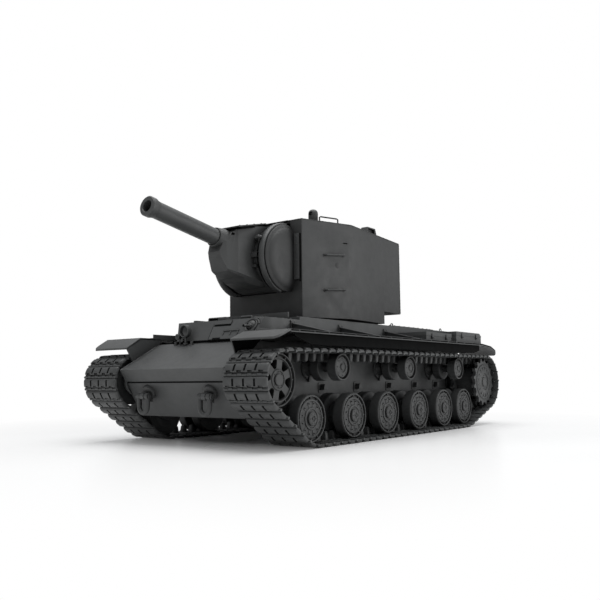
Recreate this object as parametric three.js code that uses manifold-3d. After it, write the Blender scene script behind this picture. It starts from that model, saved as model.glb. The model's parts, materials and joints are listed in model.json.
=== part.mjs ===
// Radio-controlled battle tank at 1/16 scale: a welded hull, twelve sprung road wheels, two tracks,
// a tall flat-sided turret that traverses, and a short howitzer that elevates and recoils.
// Millimetres, +Z up. The front faces -Y and the tank's own left side faces +X.
import * as THREE from 'three';
import { mergeVertices } from 'three/addons/utils/BufferGeometryUtils.js';
import Module from 'manifold-3d';

const wasm = await Module();
wasm.setup();

// ---------------------------------------------------------------- driving dimensions
const GAP = 0.3;                      // clearance between neighbouring pieces
const WALL = 2.5;                     // moulded wall thickness
const HULL_HALF = 59;                 // half width of the hull between the tracks
const INNER_HALF = HULL_HALF - WALL;
const BELLY_Z = 23;
const SPLIT_Z = 84;                   // where the upper hull lifts off the tub
const DECK_Z = 105.5;
const DECK_UNDER = DECK_Z - WALL;
const FRONT_DECK_Z = 102.7;           // the deck steps down ahead of the splash guard
const DECK_STEP_Y = -107.5;

const TRACK_MID = 82;                 // track centre line, measured from the hull's centre plane
const TRACK_HALF = 21.4;
const TRACK_THICK = 3.3;
const LINK_PITCH = 10.78;
const HORN_HALF = 3;
const HORN_TALL = 7;

const ROAD_WHEEL_Y = [-142.3, -82.4, -26.1, 32.4, 85.6, 133.7];
const ROAD_WHEEL_Z = 22.2;
const ROAD_WHEEL_R = 18.6;
const ROLLER_Y = [-97, 19, 125.5];
const ROLLER_Z = 62.2;
const ROLLER_R = 11.3;
const IDLER = { y: -183, z: 52.3, r: 20 };
const SPROCKET = { y: 186.3, z: 47.4, r: 26.4, root: 22.8, teeth: 16 };

const ARM_REACH_Y = 21.5;             // the swing arms trail: each pivot is ahead of its wheel
const ARM_RISE_Z = 8.8;
const PIVOT_R = 3;
const AXLE_R = 2.9;
const ROLLER_AXLE_R = 2.2;
const BOSS_END = HULL_HALF + 6;       // outer face of the bosses on the hull's sides
const STUB_END = HULL_HALF + 2;       // how far into its boss a stub axle reaches
const BORE_PLAY = GAP + 0.1;          // room round a stub axle, whose bore has flat facets

const TURRET_Y = -20;                 // traverse axis
const TURRET_FLOOR = 107.6;
const TURRET_ROOF = 196.9;
const BUSTLE_Z = 120.3;
const BUSTLE_Y = 44;
const RING_R = 45.5;
const TRUNNION = { y: -88.5, z: 161, pin: 4 };
const MASK_HALF = 29.9;
const MASK_R = 32.3;
const DRUM_R = 29.5;
const CHEEK_R = 30.5;
const CHEEK_OUT = 35.5;
const GUN_TILT = THREE.MathUtils.degToRad(10);
const GUN_RISE = 3.2;                 // barrel axis above the trunnion axis
const MUZZLE = -140.3;                // along the barrel, from the trunnions
const BARREL_R = 7.25;

// ---------------------------------------------------------------- materials
const paint = (hex, roughness = 0.75, metalness = 0) =>
  new THREE.MeshStandardMaterial({ color: hex, roughness, metalness });
const HULL_GREY = paint(0x4b5052);
const TURRET_GREY = paint(0x505556);
const RUNNING_GREY = paint(0x45494a);
const TRACK_GREY = paint(0x3f4445, 0.65);
const GUN_GREY = paint(0x484d4f, 0.7);
const BOARD_GREEN = paint(0x1d5a36, 0.5);
const BATTERY_BLUE = paint(0x24407a, 0.45);
const MOTOR_STEEL = paint(0x9a9da0, 0.35, 0.9);
const GEARBOX_BLACK = paint(0x1f2022, 0.6);
const LENS_GREY = paint(0x5c6162, 0.4);

// ---------------------------------------------------------------- shape helpers
function solidOf(geometry) {
  const bare = geometry.index ? geometry.toNonIndexed() : geometry.clone();
  for (const name of Object.keys(bare.attributes)) {
    if (name !== 'position') bare.deleteAttribute(name);
  }
  const merged = mergeVertices(bare, 1e-4);
  const corners = merged.index.array;
  const kept = [];
  for (let i = 0; i < corners.length; i += 3) {
    const [a, b, c] = corners.slice(i, i + 3);
    if (a !== b && b !== c && c !== a) kept.push(a, b, c);
  }
  return new wasm.Manifold(new wasm.Mesh({
    numProp: 3,
    vertProperties: Float32Array.from(merged.attributes.position.array),
    triVerts: Uint32Array.from(kept),
  }));
}

function geometryOf(solid) {
  const { vertProperties, triVerts } = solid.getMesh();
  const geometry = new THREE.BufferGeometry();
  geometry.setAttribute('position', new THREE.BufferAttribute(Float32Array.from(vertProperties), 3));
  geometry.setIndex(new THREE.BufferAttribute(Uint32Array.from(triVerts), 1));
  geometry.computeVertexNormals();
  return geometry;
}

function mirrorX(solid) {
  const { vertProperties, triVerts } = solid.getMesh();
  return new wasm.Manifold(new wasm.Mesh({
    numProp: 3,
    vertProperties: Float32Array.from(vertProperties, (value, i) => (i % 3 === 0 ? -value : value)),
    triVerts: Uint32Array.from(triVerts).reverse(),
  }));
}

const join = (...solids) => solids.reduce((whole, next) => whole.add(next));
const cut = (solid, ...tools) => tools.reduce((whole, tool) => whole.subtract(tool), solid);

const AXES = {
  x: [[0, 1, 0], [0, 0, 1], [1, 0, 0]],     // outline in (y, z), pushed along +X
  y: [[1, 0, 0], [0, 0, 1], [0, -1, 0]],    // outline in (x, z), pushed along -Y
  z: [[1, 0, 0], [0, 1, 0], [0, 0, 1]],     // outline in (x, y), pushed along +Z
};

function push(axis, outline, low, high) {
  const shape = new THREE.Shape(outline.map(([u, v]) => new THREE.Vector2(u, v)));
  const geometry = new THREE.ExtrudeGeometry(shape, { depth: high - low, bevelEnabled: false });
  const [u, v, w] = AXES[axis].map((column) => new THREE.Vector3(...column));
  geometry.applyMatrix4(new THREE.Matrix4().makeBasis(u, v, w));
  const start = axis === 'y' ? -high : low;
  geometry.translate(w.x * start, w.y * start, w.z * start);
  return solidOf(geometry);
}

function block(x, y, z) {
  const geometry = new THREE.BoxGeometry(x[1] - x[0], y[1] - y[0], z[1] - z[0]);
  geometry.translate((x[0] + x[1]) / 2, (y[0] + y[1]) / 2, (z[0] + z[1]) / 2);
  return solidOf(geometry);
}

// A round bar along one axis from low to high, centred on the other two coordinates.
function bar(axis, radius, low, high, [a, b], sides = 16) {
  const geometry = new THREE.CylinderGeometry(radius, radius, high - low, sides);
  const middle = (low + high) / 2;
  if (axis === 'x') geometry.rotateZ(-Math.PI / 2).translate(middle, a, b);
  if (axis === 'y') geometry.translate(a, middle, b);
  if (axis === 'z') geometry.rotateX(Math.PI / 2).translate(a, b, middle);
  return solidOf(geometry);
}

// A turned body about the X axis; the profile lists [radius, x] from its -x end to its +x end.
function turned(profile, sides) {
  const points = profile.map(([radius, x]) => new THREE.Vector2(radius, x));
  return solidOf(new THREE.LatheGeometry(points, sides).rotateZ(-Math.PI / 2));
}

function polar(cy, cz, radius, degrees) {
  const angle = THREE.MathUtils.degToRad(degrees);
  return [cy + radius * Math.cos(angle), cz + radius * Math.sin(angle)];
}

function arc(cy, cz, radius, from, to, steps) {
  const step = (to - from) / steps;
  return Array.from({ length: steps + 1 }, (_, i) => polar(cy, cz, radius, from + step * i));
}

const mirrorOutline = (half) => [...half, ...half.map(([x, y]) => [-x, y]).reverse()];

const tank = new THREE.Group();
const turret = new THREE.Group();
const gun = new THREE.Group();
gun.position.set(0, TRUNNION.y, TRUNNION.z);
turret.add(gun);
tank.add(turret);

function piece(name, solid, material, at = [0, 0, 0], parent = tank) {
  const mesh = new THREE.Mesh(geometryOf(solid), material);
  mesh.name = name;
  mesh.position.set(...at);
  parent.add(mesh);
  return mesh;
}

// ---------------------------------------------------------------- track path
// A belt round circles, travelling rearwards along the ground: straight runs joined by arcs.
const BELT = [
  { y: ROAD_WHEEL_Y[0], z: ROAD_WHEEL_Z, r: ROAD_WHEEL_R + GAP },
  { y: ROAD_WHEEL_Y[5], z: ROAD_WHEEL_Z, r: ROAD_WHEEL_R + GAP },
  { y: SPROCKET.y, z: SPROCKET.z, r: SPROCKET.r + GAP },
  ...[...ROLLER_Y].reverse().map((y) => ({ y, z: ROLLER_Z, r: ROLLER_R + GAP })),
  { y: IDLER.y, z: IDLER.z, r: IDLER.r + GAP },
];

function outwardAngle(from, to, offset) {
  const [dy, dz] = [to.y - from.y, to.z - from.z];
  const reach = Math.hypot(dy, dz);
  const lean = Math.asin((from.r - to.r) / reach);
  return offset + Math.atan2(dz, dy) - Math.PI / 2 + lean;
}

function beltOutline(extra, stepDegrees = 14) {
  const outline = [];
  BELT.forEach((circle, i) => {
    const before = BELT[(i + BELT.length - 1) % BELT.length];
    const after = BELT[(i + 1) % BELT.length];
    const start = outwardAngle(before, circle, 0);
    let sweep = outwardAngle(circle, after, 0) - start;
    while (sweep < -Math.PI / 4) sweep += 2 * Math.PI;
    const steps = Math.max(1, Math.ceil(THREE.MathUtils.radToDeg(Math.abs(sweep)) / stepDegrees));
    const radius = (circle.r + extra) / Math.cos(sweep / steps / 2);
    for (let k = 0; k < steps; k += 1) {
      const angle = start + (sweep * (k + 0.5)) / steps;
      outline.push([circle.y + radius * Math.cos(angle), circle.z + radius * Math.sin(angle)]);
    }
  });
  return outline;
}

function pointsAlong(outline, spacing) {
  const closed = [...outline, outline[0]];
  const lengths = closed.slice(1).map(([y, z], i) => Math.hypot(y - closed[i][0], z - closed[i][1]));
  const total = lengths.reduce((sum, length) => sum + length, 0);
  const count = Math.round(total / spacing);
  return Array.from({ length: count }, (_, k) => {
    let rest = ((k + 0.5) * total) / count;
    let side = 0;
    while (rest > lengths[side]) {
      rest -= lengths[side];
      side += 1;
    }
    const [from, to] = [closed[side], closed[side + 1]];
    const share = rest / lengths[side];
    const heading = Math.atan2(to[1] - from[1], to[0] - from[0]);
    return { y: from[0] + (to[0] - from[0]) * share, z: from[1] + (to[1] - from[1]) * share, heading };
  });
}

function trackLoop() {
  const [inside, outside] = [TRACK_MID - TRACK_HALF, TRACK_MID + TRACK_HALF];
  const inner = beltOutline(0);
  const band = cut(push('x', beltOutline(TRACK_THICK), inside, outside),
    push('x', inner, inside - 1, outside + 1));
  const sink = 0.8;
  const horns = pointsAlong(inner, LINK_PITCH).map(({ y, z, heading }) => {
    const local = [[-3, -sink], [3, -sink], [0, HORN_TALL]];
    const outline = local.map(([along, up]) => [
      y + along * Math.cos(heading) - up * Math.sin(heading),
      z + along * Math.sin(heading) + up * Math.cos(heading),
    ]);
    return push('x', outline, TRACK_MID - HORN_HALF, TRACK_MID + HORN_HALF);
  });
  return join(band, ...horns);
}

// ---------------------------------------------------------------- running gear
function roadWheel() {
  const [face, groove, hub, bore] = [14.5, 4.5, 11.4, 3.2];
  return turned([[0, 6], [bore, 6], [bore, -face], [ROAD_WHEEL_R, -face], [ROAD_WHEEL_R, -groove],
    [hub, -groove], [hub, groove], [ROAD_WHEEL_R, groove], [ROAD_WHEEL_R, face], [16, face],
    [15, face - 2], [0, face - 1]], 14);
}

function returnRoller() {
  const [inner, outer, groove, hub, stub] = [-13, 13.3, 4.3, 4.2, STUB_END - TRACK_MID];
  return turned([[0, stub], [ROLLER_AXLE_R, stub], [ROLLER_AXLE_R, inner], [ROLLER_R, inner],
    [ROLLER_R, -groove], [hub, -groove], [hub, groove], [ROLLER_R, groove], [ROLLER_R, outer],
    [0, outer]], 12);
}

function idlerWheel() {
  const [face, groove, hub, stub] = [14.6, 4.6, 11, STUB_END - TRACK_MID];
  return turned([[0, stub], [AXLE_R, stub], [AXLE_R, -face], [IDLER.r, -face], [IDLER.r, -groove],
    [hub, -groove], [hub, groove], [IDLER.r, groove], [IDLER.r, face], [18.6, face],
    [18.2, face - 2], [5, face - 1.6], [0, face + 0.4]], 16);
}

function toothedRing(low, high) {
  const outline = [];
  const step = 360 / SPROCKET.teeth;
  for (let i = 0; i < SPROCKET.teeth; i += 1) {
    outline.push(polar(0, 0, SPROCKET.root, i * step));
    outline.push(...arc(0, 0, SPROCKET.r, (i + 0.32) * step, (i + 0.68) * step, 1));
  }
  return push('x', outline, low, high);
}

function sprocketWheel() {
  const [shaftEnd, drum] = [-35.5, 16];
  const body = turned([[0, shaftEnd], [3.5, shaftEnd], [3.5, -14.5], [drum, -14.5], [drum, 12],
    [19, 15], [14, 16.2], [9, 14], [0, 14]], 16);
  return join(body, toothedRing(-14.5, -11), toothedRing(11.2, 14.7));
}

function swingArm() {
  const [near, far] = [60.7, 66.9];
  const pivot = [-ARM_REACH_Y, ARM_RISE_Z];
  const lean = THREE.MathUtils.radToDeg(Math.atan2(pivot[1], pivot[0]));
  const outline = [...arc(0, 0, 5, lean - 270, lean - 90, 4),
    ...arc(...pivot, 6.5, lean - 90, lean + 90, 4)];
  return join(push('x', outline, near, far),
    bar('x', PIVOT_R, 52, near + 1, pivot, 8),
    bar('x', AXLE_R, far - 1, TRACK_MID + 5.5, [0, 0], 8));
}

const SIDES = [['left', 1, (solid) => solid], ['right', -1, mirrorX]];
for (const [side, sign, turn] of SIDES) {
  const [wheel, arm] = [turn(roadWheel()), turn(swingArm())];
  ROAD_WHEEL_Y.forEach((y, i) => {
    piece(`road_wheel_${side}_${i + 1}`, wheel, RUNNING_GREY, [sign * TRACK_MID, y, ROAD_WHEEL_Z]);
    piece(`swing_arm_${side}_${i + 1}`, arm, RUNNING_GREY, [0, y, ROAD_WHEEL_Z]);
  });
  const roller = turn(returnRoller());
  ROLLER_Y.forEach((y, i) => {
    piece(`return_roller_${side}_${i + 1}`, roller, RUNNING_GREY, [sign * TRACK_MID, y, ROLLER_Z]);
  });
  piece(`idler_${side}`, turn(idlerWheel()), RUNNING_GREY, [sign * TRACK_MID, IDLER.y, IDLER.z]);
  piece(`sprocket_${side}`, turn(sprocketWheel()), RUNNING_GREY,
    [sign * TRACK_MID, SPROCKET.y, SPROCKET.z]);
  piece(`track_${side}`, turn(trackLoop()), TRACK_GREY);
}

// ---------------------------------------------------------------- lower hull
const NOSE = { bottom: [-177.4, BELLY_Z], seam: [-194.3, 51.1], tip: [-201.3, 61.7], top: [-161.9, 82.4] };

function tubShell() {
  const outer = [NOSE.bottom, [165, BELLY_Z], [180, 27], [191, 36], [197, 50], [197, SPLIT_Z],
    [-158.9, SPLIT_Z], NOSE.top, NOSE.tip, NOSE.seam];
  const cavity = [[-175.8, 25.5], [164.5, 25.5], [178.5, 29.3], [188.8, 37.5], [194.5, 50.6],
    [194.5, SPLIT_Z + 1], [-155.4, SPLIT_Z + 1], [-157, 82], [-193.5, 62], [-190.8, 52]];
  return cut(push('x', outer, -HULL_HALF, HULL_HALF), push('x', cavity, -INNER_HALF, INNER_HALF));
}

const TOW = { x: 35, y: -196.5, z: 40, pin: 1.8 };

function towLug(sign) {
  const { x, y, z } = TOW;
  const [top, foot] = [[-191, z + 7.5], [-184.3, z - 4]];
  const cheek = [top, [y - 1.8, z + 4.6], [y - 3.8, z + 1], [y - 3.2, z - 2.8], [y, z - 4.2], foot];
  const [low, high] = [sign * x - 1.6, sign * x + 1.6];
  return cut(push('x', cheek, low, high), bar('x', TOW.pin + 0.5, low - 1, high + 1, [y, z], 10));
}

function hullSideFittings() {
  const root = HULL_HALF - 1;
  const bosses = ROLLER_Y.map((y) => bar('x', 7, root, BOSS_END, [y, ROLLER_Z], 8));
  const bumpStops = ROAD_WHEEL_Y.map((y) => block([root, BOSS_END], [y + 1, y + 7], [44, 49]));
  return [...bosses, ...bumpStops,
    bar('x', 10, root, BOSS_END, [IDLER.y, IDLER.z], 10),
    bar('x', 15.5, root, BOSS_END, [SPROCKET.y, SPROCKET.z], 12)];
}

function hullSideBores() {
  const start = STUB_END - GAP;
  const pivots = ROAD_WHEEL_Y.map((y) => bar('x', PIVOT_R + GAP, INNER_HALF - 1, HULL_HALF + 1,
    [y - ARM_REACH_Y, ROAD_WHEEL_Z + ARM_RISE_Z], 8));
  const rollers = ROLLER_Y.map((y) =>
    bar('x', ROLLER_AXLE_R + BORE_PLAY, start, BOSS_END + 1, [y, ROLLER_Z], 12));
  return [...pivots, ...rollers,
    bar('x', AXLE_R + BORE_PLAY, start, BOSS_END + 1, [IDLER.y, IDLER.z], 12),
    bar('x', 3.9, INNER_HALF - 8, HULL_HALF + 8, [SPROCKET.y, SPROCKET.z], 10)];
}

function lowerHull() {
  const left = hullSideFittings();
  const bores = hullSideBores();
  const switchSlot = block([-2.8, 2.8], [53, 67], [BELLY_Z - 1, BELLY_Z + WALL + 1]);
  const body = join(tubShell(), ...left, ...left.map(mirrorX), towLug(1), towLug(-1));
  return cut(body, ...bores, ...bores.map(mirrorX), switchSlot);
}
piece('lower_hull', lowerHull(), HULL_GREY);

function towShackle() {
  const [top, side, bend] = [2.5, 6.4, -16];
  const legs = mirrorOutline([[side, top], [side, bend + 5], [4, bend]]);
  const hole = mirrorOutline([[2.5, top + 1], [2.5, bend + 6.5], [1.4, bend + 4.2]]);
  const bow = cut(push('y', legs, -2, 2), push('y', hole, -3, 3));
  return join(bow, bar('x', TOW.pin, -side - 0.6, side + 0.6, [0, 0], 10));
}
for (const [side, sign] of SIDES) {
  piece(`tow_shackle_${side}`, towShackle(), RUNNING_GREY, [sign * TOW.x, TOW.y, TOW.z]);
}

piece('power_switch', join(block([-4.5, 4.5], [-4, 4], [WALL + GAP, WALL + 2]),
  block([-2.3, 2.3], [-3, 3], [-1.2, WALL + 1])), GEARBOX_BLACK, [0, 57.5, BELLY_Z]);

// ---------------------------------------------------------------- upper hull
const HATCH = { x: 28, y: -126, r: 13.5 };
const BALL = { x: 45, y: -151, z: 95.6, r: 5.2 };
const ENGINE_BAY = { x: 43, y: [72, 156] };

function upperHull() {
  const low = SPLIT_Z + GAP;
  const frontUnder = FRONT_DECK_Z - WALL;
  const outer = [[-160.6, low], [197.3, low], [203, 91], [203, 100], [196, DECK_Z],
    [DECK_STEP_Y, DECK_Z], [DECK_STEP_Y, FRONT_DECK_Z], [-150.3, FRONT_DECK_Z]];
  const cavity = [[-157.8, low - 1], [194.7, low - 1], [200.5, 92], [200.5, 98.8], [194.8, DECK_UNDER],
    [DECK_STEP_Y + WALL, DECK_UNDER], [DECK_STEP_Y + WALL, frontUnder], [-148.8, frontUnder]];
  const plan = mirrorOutline([[47, -170], [HULL_HALF, -143], [HULL_HALF, 210]]);
  const innerPlan = mirrorOutline([[45, -170], [INNER_HALF, -142.5], [INNER_HALF, 210]]);
  const shell = cut(push('x', outer, -HULL_HALF, HULL_HALF).intersect(push('z', plan, 70, 120)),
    push('x', cavity, -INNER_HALF, INNER_HALF).intersect(push('z', innerPlan, 70, 120)));
  const splashGuard = block([-28, 47], [DECK_STEP_Y - 1, DECK_STEP_Y + 1], [frontUnder + 1, 110]);
  const socket = bar('y', BALL.r + 1.5, BALL.y - 4.6, -147, [BALL.x, BALL.z], 14);
  return cut(join(shell, splashGuard, socket),
    bar('z', RING_R + 0.5, 100, 110, [0, TURRET_Y], 32),
    bar('z', HATCH.r - 2, frontUnder - 1, 110, [HATCH.x, HATCH.y], 20),
    bar('y', BALL.r + 0.4, -160, -140, [BALL.x, BALL.z], 14),
    block([-ENGINE_BAY.x, ENGINE_BAY.x], ENGINE_BAY.y, [100, 110]));
}
piece('upper_hull', upperHull(), HULL_GREY);

function engineDeck() {
  const top = DECK_Z + GAP;
  const panel = block([-48, 48], [67, 163], [top, top + 1.8]);
  const dome = bar('z', 15, top + 1, top + 4.4, [0, 112], 18);
  const grille = block([20, 42], [86, 140], [top + 1, top + 3.4]);
  return join(panel, dome, grille, mirrorX(grille));
}
piece('engine_deck', engineDeck(), HULL_GREY);

// Hinged lids and doors: the pin's axis stands PIN_UP above the underside, EDGE_BACK from the lid's edge.
const PIN_UP = 1.9;
const EDGE_BACK = 0.7;
const KNUCKLE_R = 1.3;
const LID_THICK = 2.1;

// A round lid hinged at the origin; it reaches towards +Y where way is 1 and towards -Y where it is -1.
function roundLid(radius, way) {
  const lid = bar('z', radius, 0, LID_THICK, [0, way * (radius + EDGE_BACK)], 20);
  const leaf = block([-6, 6], way > 0 ? [0, 3] : [-3, 0], [0, LID_THICK]);
  return join(lid, leaf, bar('x', KNUCKLE_R, -6, 6, [0, PIN_UP], 10));
}
piece('driver_hatch', roundLid(HATCH.r, 1), HULL_GREY,
  [HATCH.x, HATCH.y - HATCH.r - EDGE_BACK, FRONT_DECK_Z + GAP]);

function hullMachineGun() {
  const ball = solidOf(new THREE.SphereGeometry(BALL.r, 12, 7));
  return join(ball, bar('y', 1.8, -12.6, -3, [0, 0], 10));
}
piece('hull_machine_gun', hullMachineGun(), GUN_GREY, [BALL.x, BALL.y, BALL.z]);

function headlight() {
  const [front, back] = [-5.5, 0.5];
  const cup = bar('y', 5.4, front, back, [0, 0], 14);
  const stalk = block([-1.5, 1.5], [-3.6, -1.6], [-11, -4]);
  return join(cut(cup, bar('y', 4.3, front - 1, front + 1.6, [0, 0], 14)), stalk);
}
piece('headlight', headlight(), LENS_GREY, [-23, -160, 94]);

// ---------------------------------------------------------------- fenders
function fender() {
  const [root, edge, top] = [HULL_HALF + GAP, 104.5, 89.5];
  const thick = 1.5;
  const over = [[-195, 82.5], [-179.5, top], [168, top], [192, 87.4], [204, 83.4], [210.5, 78.6]];
  const under = over.map(([y, z]) => [y + (y < 0 ? 0.6 : -0.6), z - thick]).reverse();
  const plate = push('x', [...over, ...under], root, edge);
  const lip = push('x', [[-178.5, top], [168, top], [168, 85.5], [-178.5, 85.5]], edge - 1.4, edge);
  const guard = push('x', [[-194.6, 81.6], [-179, 89], [-156, 89], [-156, 86], [-188.4, 69.2]],
    root, root + 0.9);
  const gussets = [-118, -47, 33].map((y) =>
    push('y', [[root, top - 1], [edge - 6, top - 1], [root, 99.5]], y - 0.7, y + 0.7));
  const box = push('x', [[112, top - 1], [176, top - 1], [176, 97.5], [171, 101], [112, 101]], 62, 100);
  const lowBox = block([64, 98], [48, 104], [top - 1, 98]);
  return join(plate, lip, guard, ...gussets, box, lowBox);
}
for (const [side, , turn] of SIDES) piece(`fender_${side}`, turn(fender()), HULL_GREY);

// ---------------------------------------------------------------- turret
const PLAN_FRONT = -82.7;
const PLAN_REAR = 86.1;
const WIDEST = [61.8, -29.3];
const planInset = (inset) => mirrorOutline([[43.4 - inset * 0.75, PLAN_FRONT + inset],
  [WIDEST[0] - inset, WIDEST[1] + inset * 0.1], [48 - inset, PLAN_REAR - inset]]);
const TOP_HATCH = { x: -14, y: 34, r: 16.5 };
const behind = (y) => block([-100, 100], [y, 200], [0, 400]);

function turretShell() {
  const outer = cut(push('z', planInset(0), TURRET_FLOOR, TURRET_ROOF),
    behind(BUSTLE_Y).intersect(block([-100, 100], [0, 200], [0, BUSTLE_Z])));
  const room = cut(push('z', planInset(WALL), TURRET_FLOOR - 1, TURRET_ROOF - WALL),
    behind(BUSTLE_Y - WALL).intersect(block([-100, 100], [0, 200], [0, BUSTLE_Z + WALL])));
  const cheek = bar('x', CHEEK_R, MASK_HALF + GAP + 0.4, CHEEK_OUT, [TRUNNION.y, TRUNNION.z], 28)
    .intersect(block([0, 50], [-130, PLAN_FRONT + 1], [100, 200]));
  const opening = block([-MASK_HALF - 0.6, MASK_HALF + 0.6], [PLAN_FRONT - 1, PLAN_FRONT + WALL + 1],
    [128.6, TURRET_ROOF - WALL - 0.1]);
  const hatchHole = bar('z', TOP_HATCH.r - 1.5, TURRET_ROOF - 4, TURRET_ROOF + 1,
    [TOP_HATCH.x, TOP_HATCH.y], 20);
  const doorHole = block([-17, 17], [PLAN_REAR - WALL - 2, PLAN_REAR + 2], [134, 178]);
  const periscope = bar('z', 4.5, TURRET_ROOF - 1, 209.5, [40, -60], 14);
  const hood = (x, y) => block([x - 5, x + 5], [y - 11, y + 11], [TURRET_ROOF - 1, 205]);
  const pinHole = bar('x', TRUNNION.pin + 0.4, 20, 33.4, [TRUNNION.y, TRUNNION.z], 12);
  return cut(join(outer.subtract(room), periscope, hood(45, 32), hood(-45, 32)),
    opening, hatchHole, doorHole).add(cut(join(cheek, mirrorX(cheek)), pinHole, mirrorX(pinHole)));
}
piece('turret_shell', turretShell(), TURRET_GREY, [0, 0, 0], turret);

function turretBase() {
  const inset = WALL + GAP + 0.2;
  const plate = cut(push('z', planInset(inset), TURRET_FLOOR, TURRET_FLOOR + 2.4),
    behind(BUSTLE_Y - inset));
  const ring = bar('z', RING_R, 101, TURRET_FLOOR + 1, [0, TURRET_Y], 32);
  return cut(join(plate, ring), bar('z', RING_R - 4, 99, 112, [0, TURRET_Y], 32));
}
piece('turret_base', turretBase(), TURRET_GREY, [0, 0, 0], turret);

piece('commander_hatch', roundLid(TOP_HATCH.r, -1), TURRET_GREY,
  [TOP_HATCH.x, TOP_HATCH.y + TOP_HATCH.r + EDGE_BACK, TURRET_ROOF + GAP], turret);

function rearDoor() {
  const [wide, half, hingeHalf] = [38, 24, 20];
  const panel = block([-EDGE_BACK - wide, -EDGE_BACK], [0, LID_THICK], [-half, half]);
  const leaf = block([-3, 0], [0, LID_THICK], [-hingeHalf, hingeHalf]);
  return join(panel, leaf, bar('z', KNUCKLE_R, -hingeHalf, hingeHalf, [0, PIN_UP], 10));
}
piece('turret_rear_door', rearDoor(), TURRET_GREY, [21, PLAN_REAR + GAP, 156], turret);

function elevationUnit() {
  const top = TURRET_ROOF - WALL - GAP;
  const roofPlate = block([-16, 16], [-44, -12], [top - 2.2, top]);
  const servo = block([-10, 10], [-40, -16], [154, top - 1]);
  return join(roofPlate, servo, bar('x', 5, -15, 15, [-28, 158], 12));
}
piece('elevation_unit', elevationUnit(), GEARBOX_BLACK, [0, 0, 0], turret);

// ---------------------------------------------------------------- gun
// A tool that follows the barrel's own axis, in the gun group's frame.
function alongBarrel(radius, low, high, sides) {
  const geometry = new THREE.CylinderGeometry(radius, radius, high - low, sides);
  geometry.translate(0, (low + high) / 2, GUN_RISE).rotateX(-GUN_TILT);
  return solidOf(geometry);
}

function gunMask() {
  const drum = bar('x', DRUM_R, -MASK_HALF, MASK_HALF, [0, 0], 28);
  const shield = bar('x', MASK_R, -MASK_HALF, MASK_HALF, [0, 0], 32)
    .intersect(block([-40, 40], [-50, 2], [-50, 50]));
  const side = [[-12, 29], [-61, 18.5], [-66, 2], [-66, -6], [-60, -13], [-53, -18],
    [-26, -23.5], [-12, -24]];
  const plan = mirrorOutline([[8.5, -67], [19, -53.5], [19, -10]]);
  const nose = push('x', side, -19, 19).intersect(push('z', plan, -40, 40));
  const trunnions = bar('x', TRUNNION.pin, -33, 33, [0, 0], 12);
  const mask = join(drum, shield, nose, trunnions, alongBarrel(10.2, -62, -40, 16));
  const hollow = join(bar('x', DRUM_R - WALL, -26, 26, [0, 0], 20), block([-26, 26], [0, 40], [-20, 20]));
  const tube = alongBarrel(BARREL_R + 2, -30, 22, 16);
  return cut(join(cut(mask, hollow), tube), alongBarrel(BARREL_R + 0.4, -90, 60, 20));
}
piece('gun_mask', gunMask(), TURRET_GREY, [0, 0, 0], gun);

function gunBarrel() {
  const [swell, bore] = [8.3, 4.75];
  const boreEnd = MUZZLE + 25;
  const profile = [[0, boreEnd], [bore, boreEnd], [bore, MUZZLE], [swell, MUZZLE],
    [swell, MUZZLE + 5], [BARREL_R, MUZZLE + 10], [BARREL_R, 8], [0, 8]];
  const points = profile.map(([radius, y]) => new THREE.Vector2(radius, y));
  return solidOf(new THREE.LatheGeometry(points, 20));
}
const barrelMesh = piece('gun_barrel', gunBarrel(), GUN_GREY, [0, 0, 0], gun);
barrelMesh.position.set(0, GUN_RISE * Math.sin(GUN_TILT), GUN_RISE * Math.cos(GUN_TILT));
barrelMesh.rotation.x = -GUN_TILT;

// ---------------------------------------------------------------- inside the hull
const FLOOR_Z = BELLY_Z + WALL + GAP;

function gearbox() {
  const side = [[146, FLOOR_Z], [163, FLOOR_Z], [180, 35], [189, 50], [189, 60], [146, 60]];
  const casing = push('x', side, 10, 45);
  const motor = bar('y', 11, 104, 148, [27, 44], 16);
  const shaft = bar('y', 1.6, 98, 106, [27, 44], 8);
  return join(casing, motor, shaft);
}
for (const [side, , turn] of SIDES) piece(`gearbox_${side}`, turn(gearbox()), GEARBOX_BLACK);

piece('battery_pack', join(block([-18, 18], [-40, 44], [FLOOR_Z, FLOOR_Z + 20]),
  block([-6, 6], [44, 50], [FLOOR_Z + 6, FLOOR_Z + 14])), BATTERY_BLUE);

function controlBoard() {
  const board = block([-52, -22], [-40, 44], [FLOOR_Z + 5, FLOOR_Z + 6.6]);
  const feet = [[-49, -37], [-25, -37], [-49, 41], [-25, 41]].map((at) =>
    bar('z', 2, FLOOR_Z, FLOOR_Z + 6, at, 8));
  const chips = block([-46, -30], [-20, -2], [FLOOR_Z + 6, FLOOR_Z + 11]);
  return join(board, ...feet, chips);
}
piece('control_board', controlBoard(), BOARD_GREEN);

function speaker() {
  const can = bar('z', 20, FLOOR_Z, FLOOR_Z + 5, [0, -90], 20);
  const magnet = bar('z', 11, FLOOR_Z + 4, FLOOR_Z + 14, [0, -90], 16);
  return join(can, magnet);
}
piece('speaker', speaker(), GEARBOX_BLACK);

function traverseMotor() {
  const flange = block([-14, 14], [30, 56], [DECK_UNDER - GAP - 2.4, DECK_UNDER - GAP]);
  return join(flange, bar('z', 9, 66, DECK_UNDER - 2, [0, 43], 16), bar('z', 1.6, 61, 67, [0, 43], 8));
}
piece('traverse_motor', traverseMotor(), MOTOR_STEEL);

// The origin is at the middle of the bounding box, on the ground.
const box = new THREE.Box3().setFromObject(tank, true);
tank.position.y = -(box.min.y + box.max.y) / 2;
tank.updateMatrixWorld(true);

export default tank;
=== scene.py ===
"""Looks of a radio-controlled heavy tank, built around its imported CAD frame.

Shapes are drawn in millimetres in the tank's drawing frame: X across (the tank's left is +X),
Y to the rear, Z up from the ground. The drawing frame lies SHIFT millimetres along Y from the row frame.
"""

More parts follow.
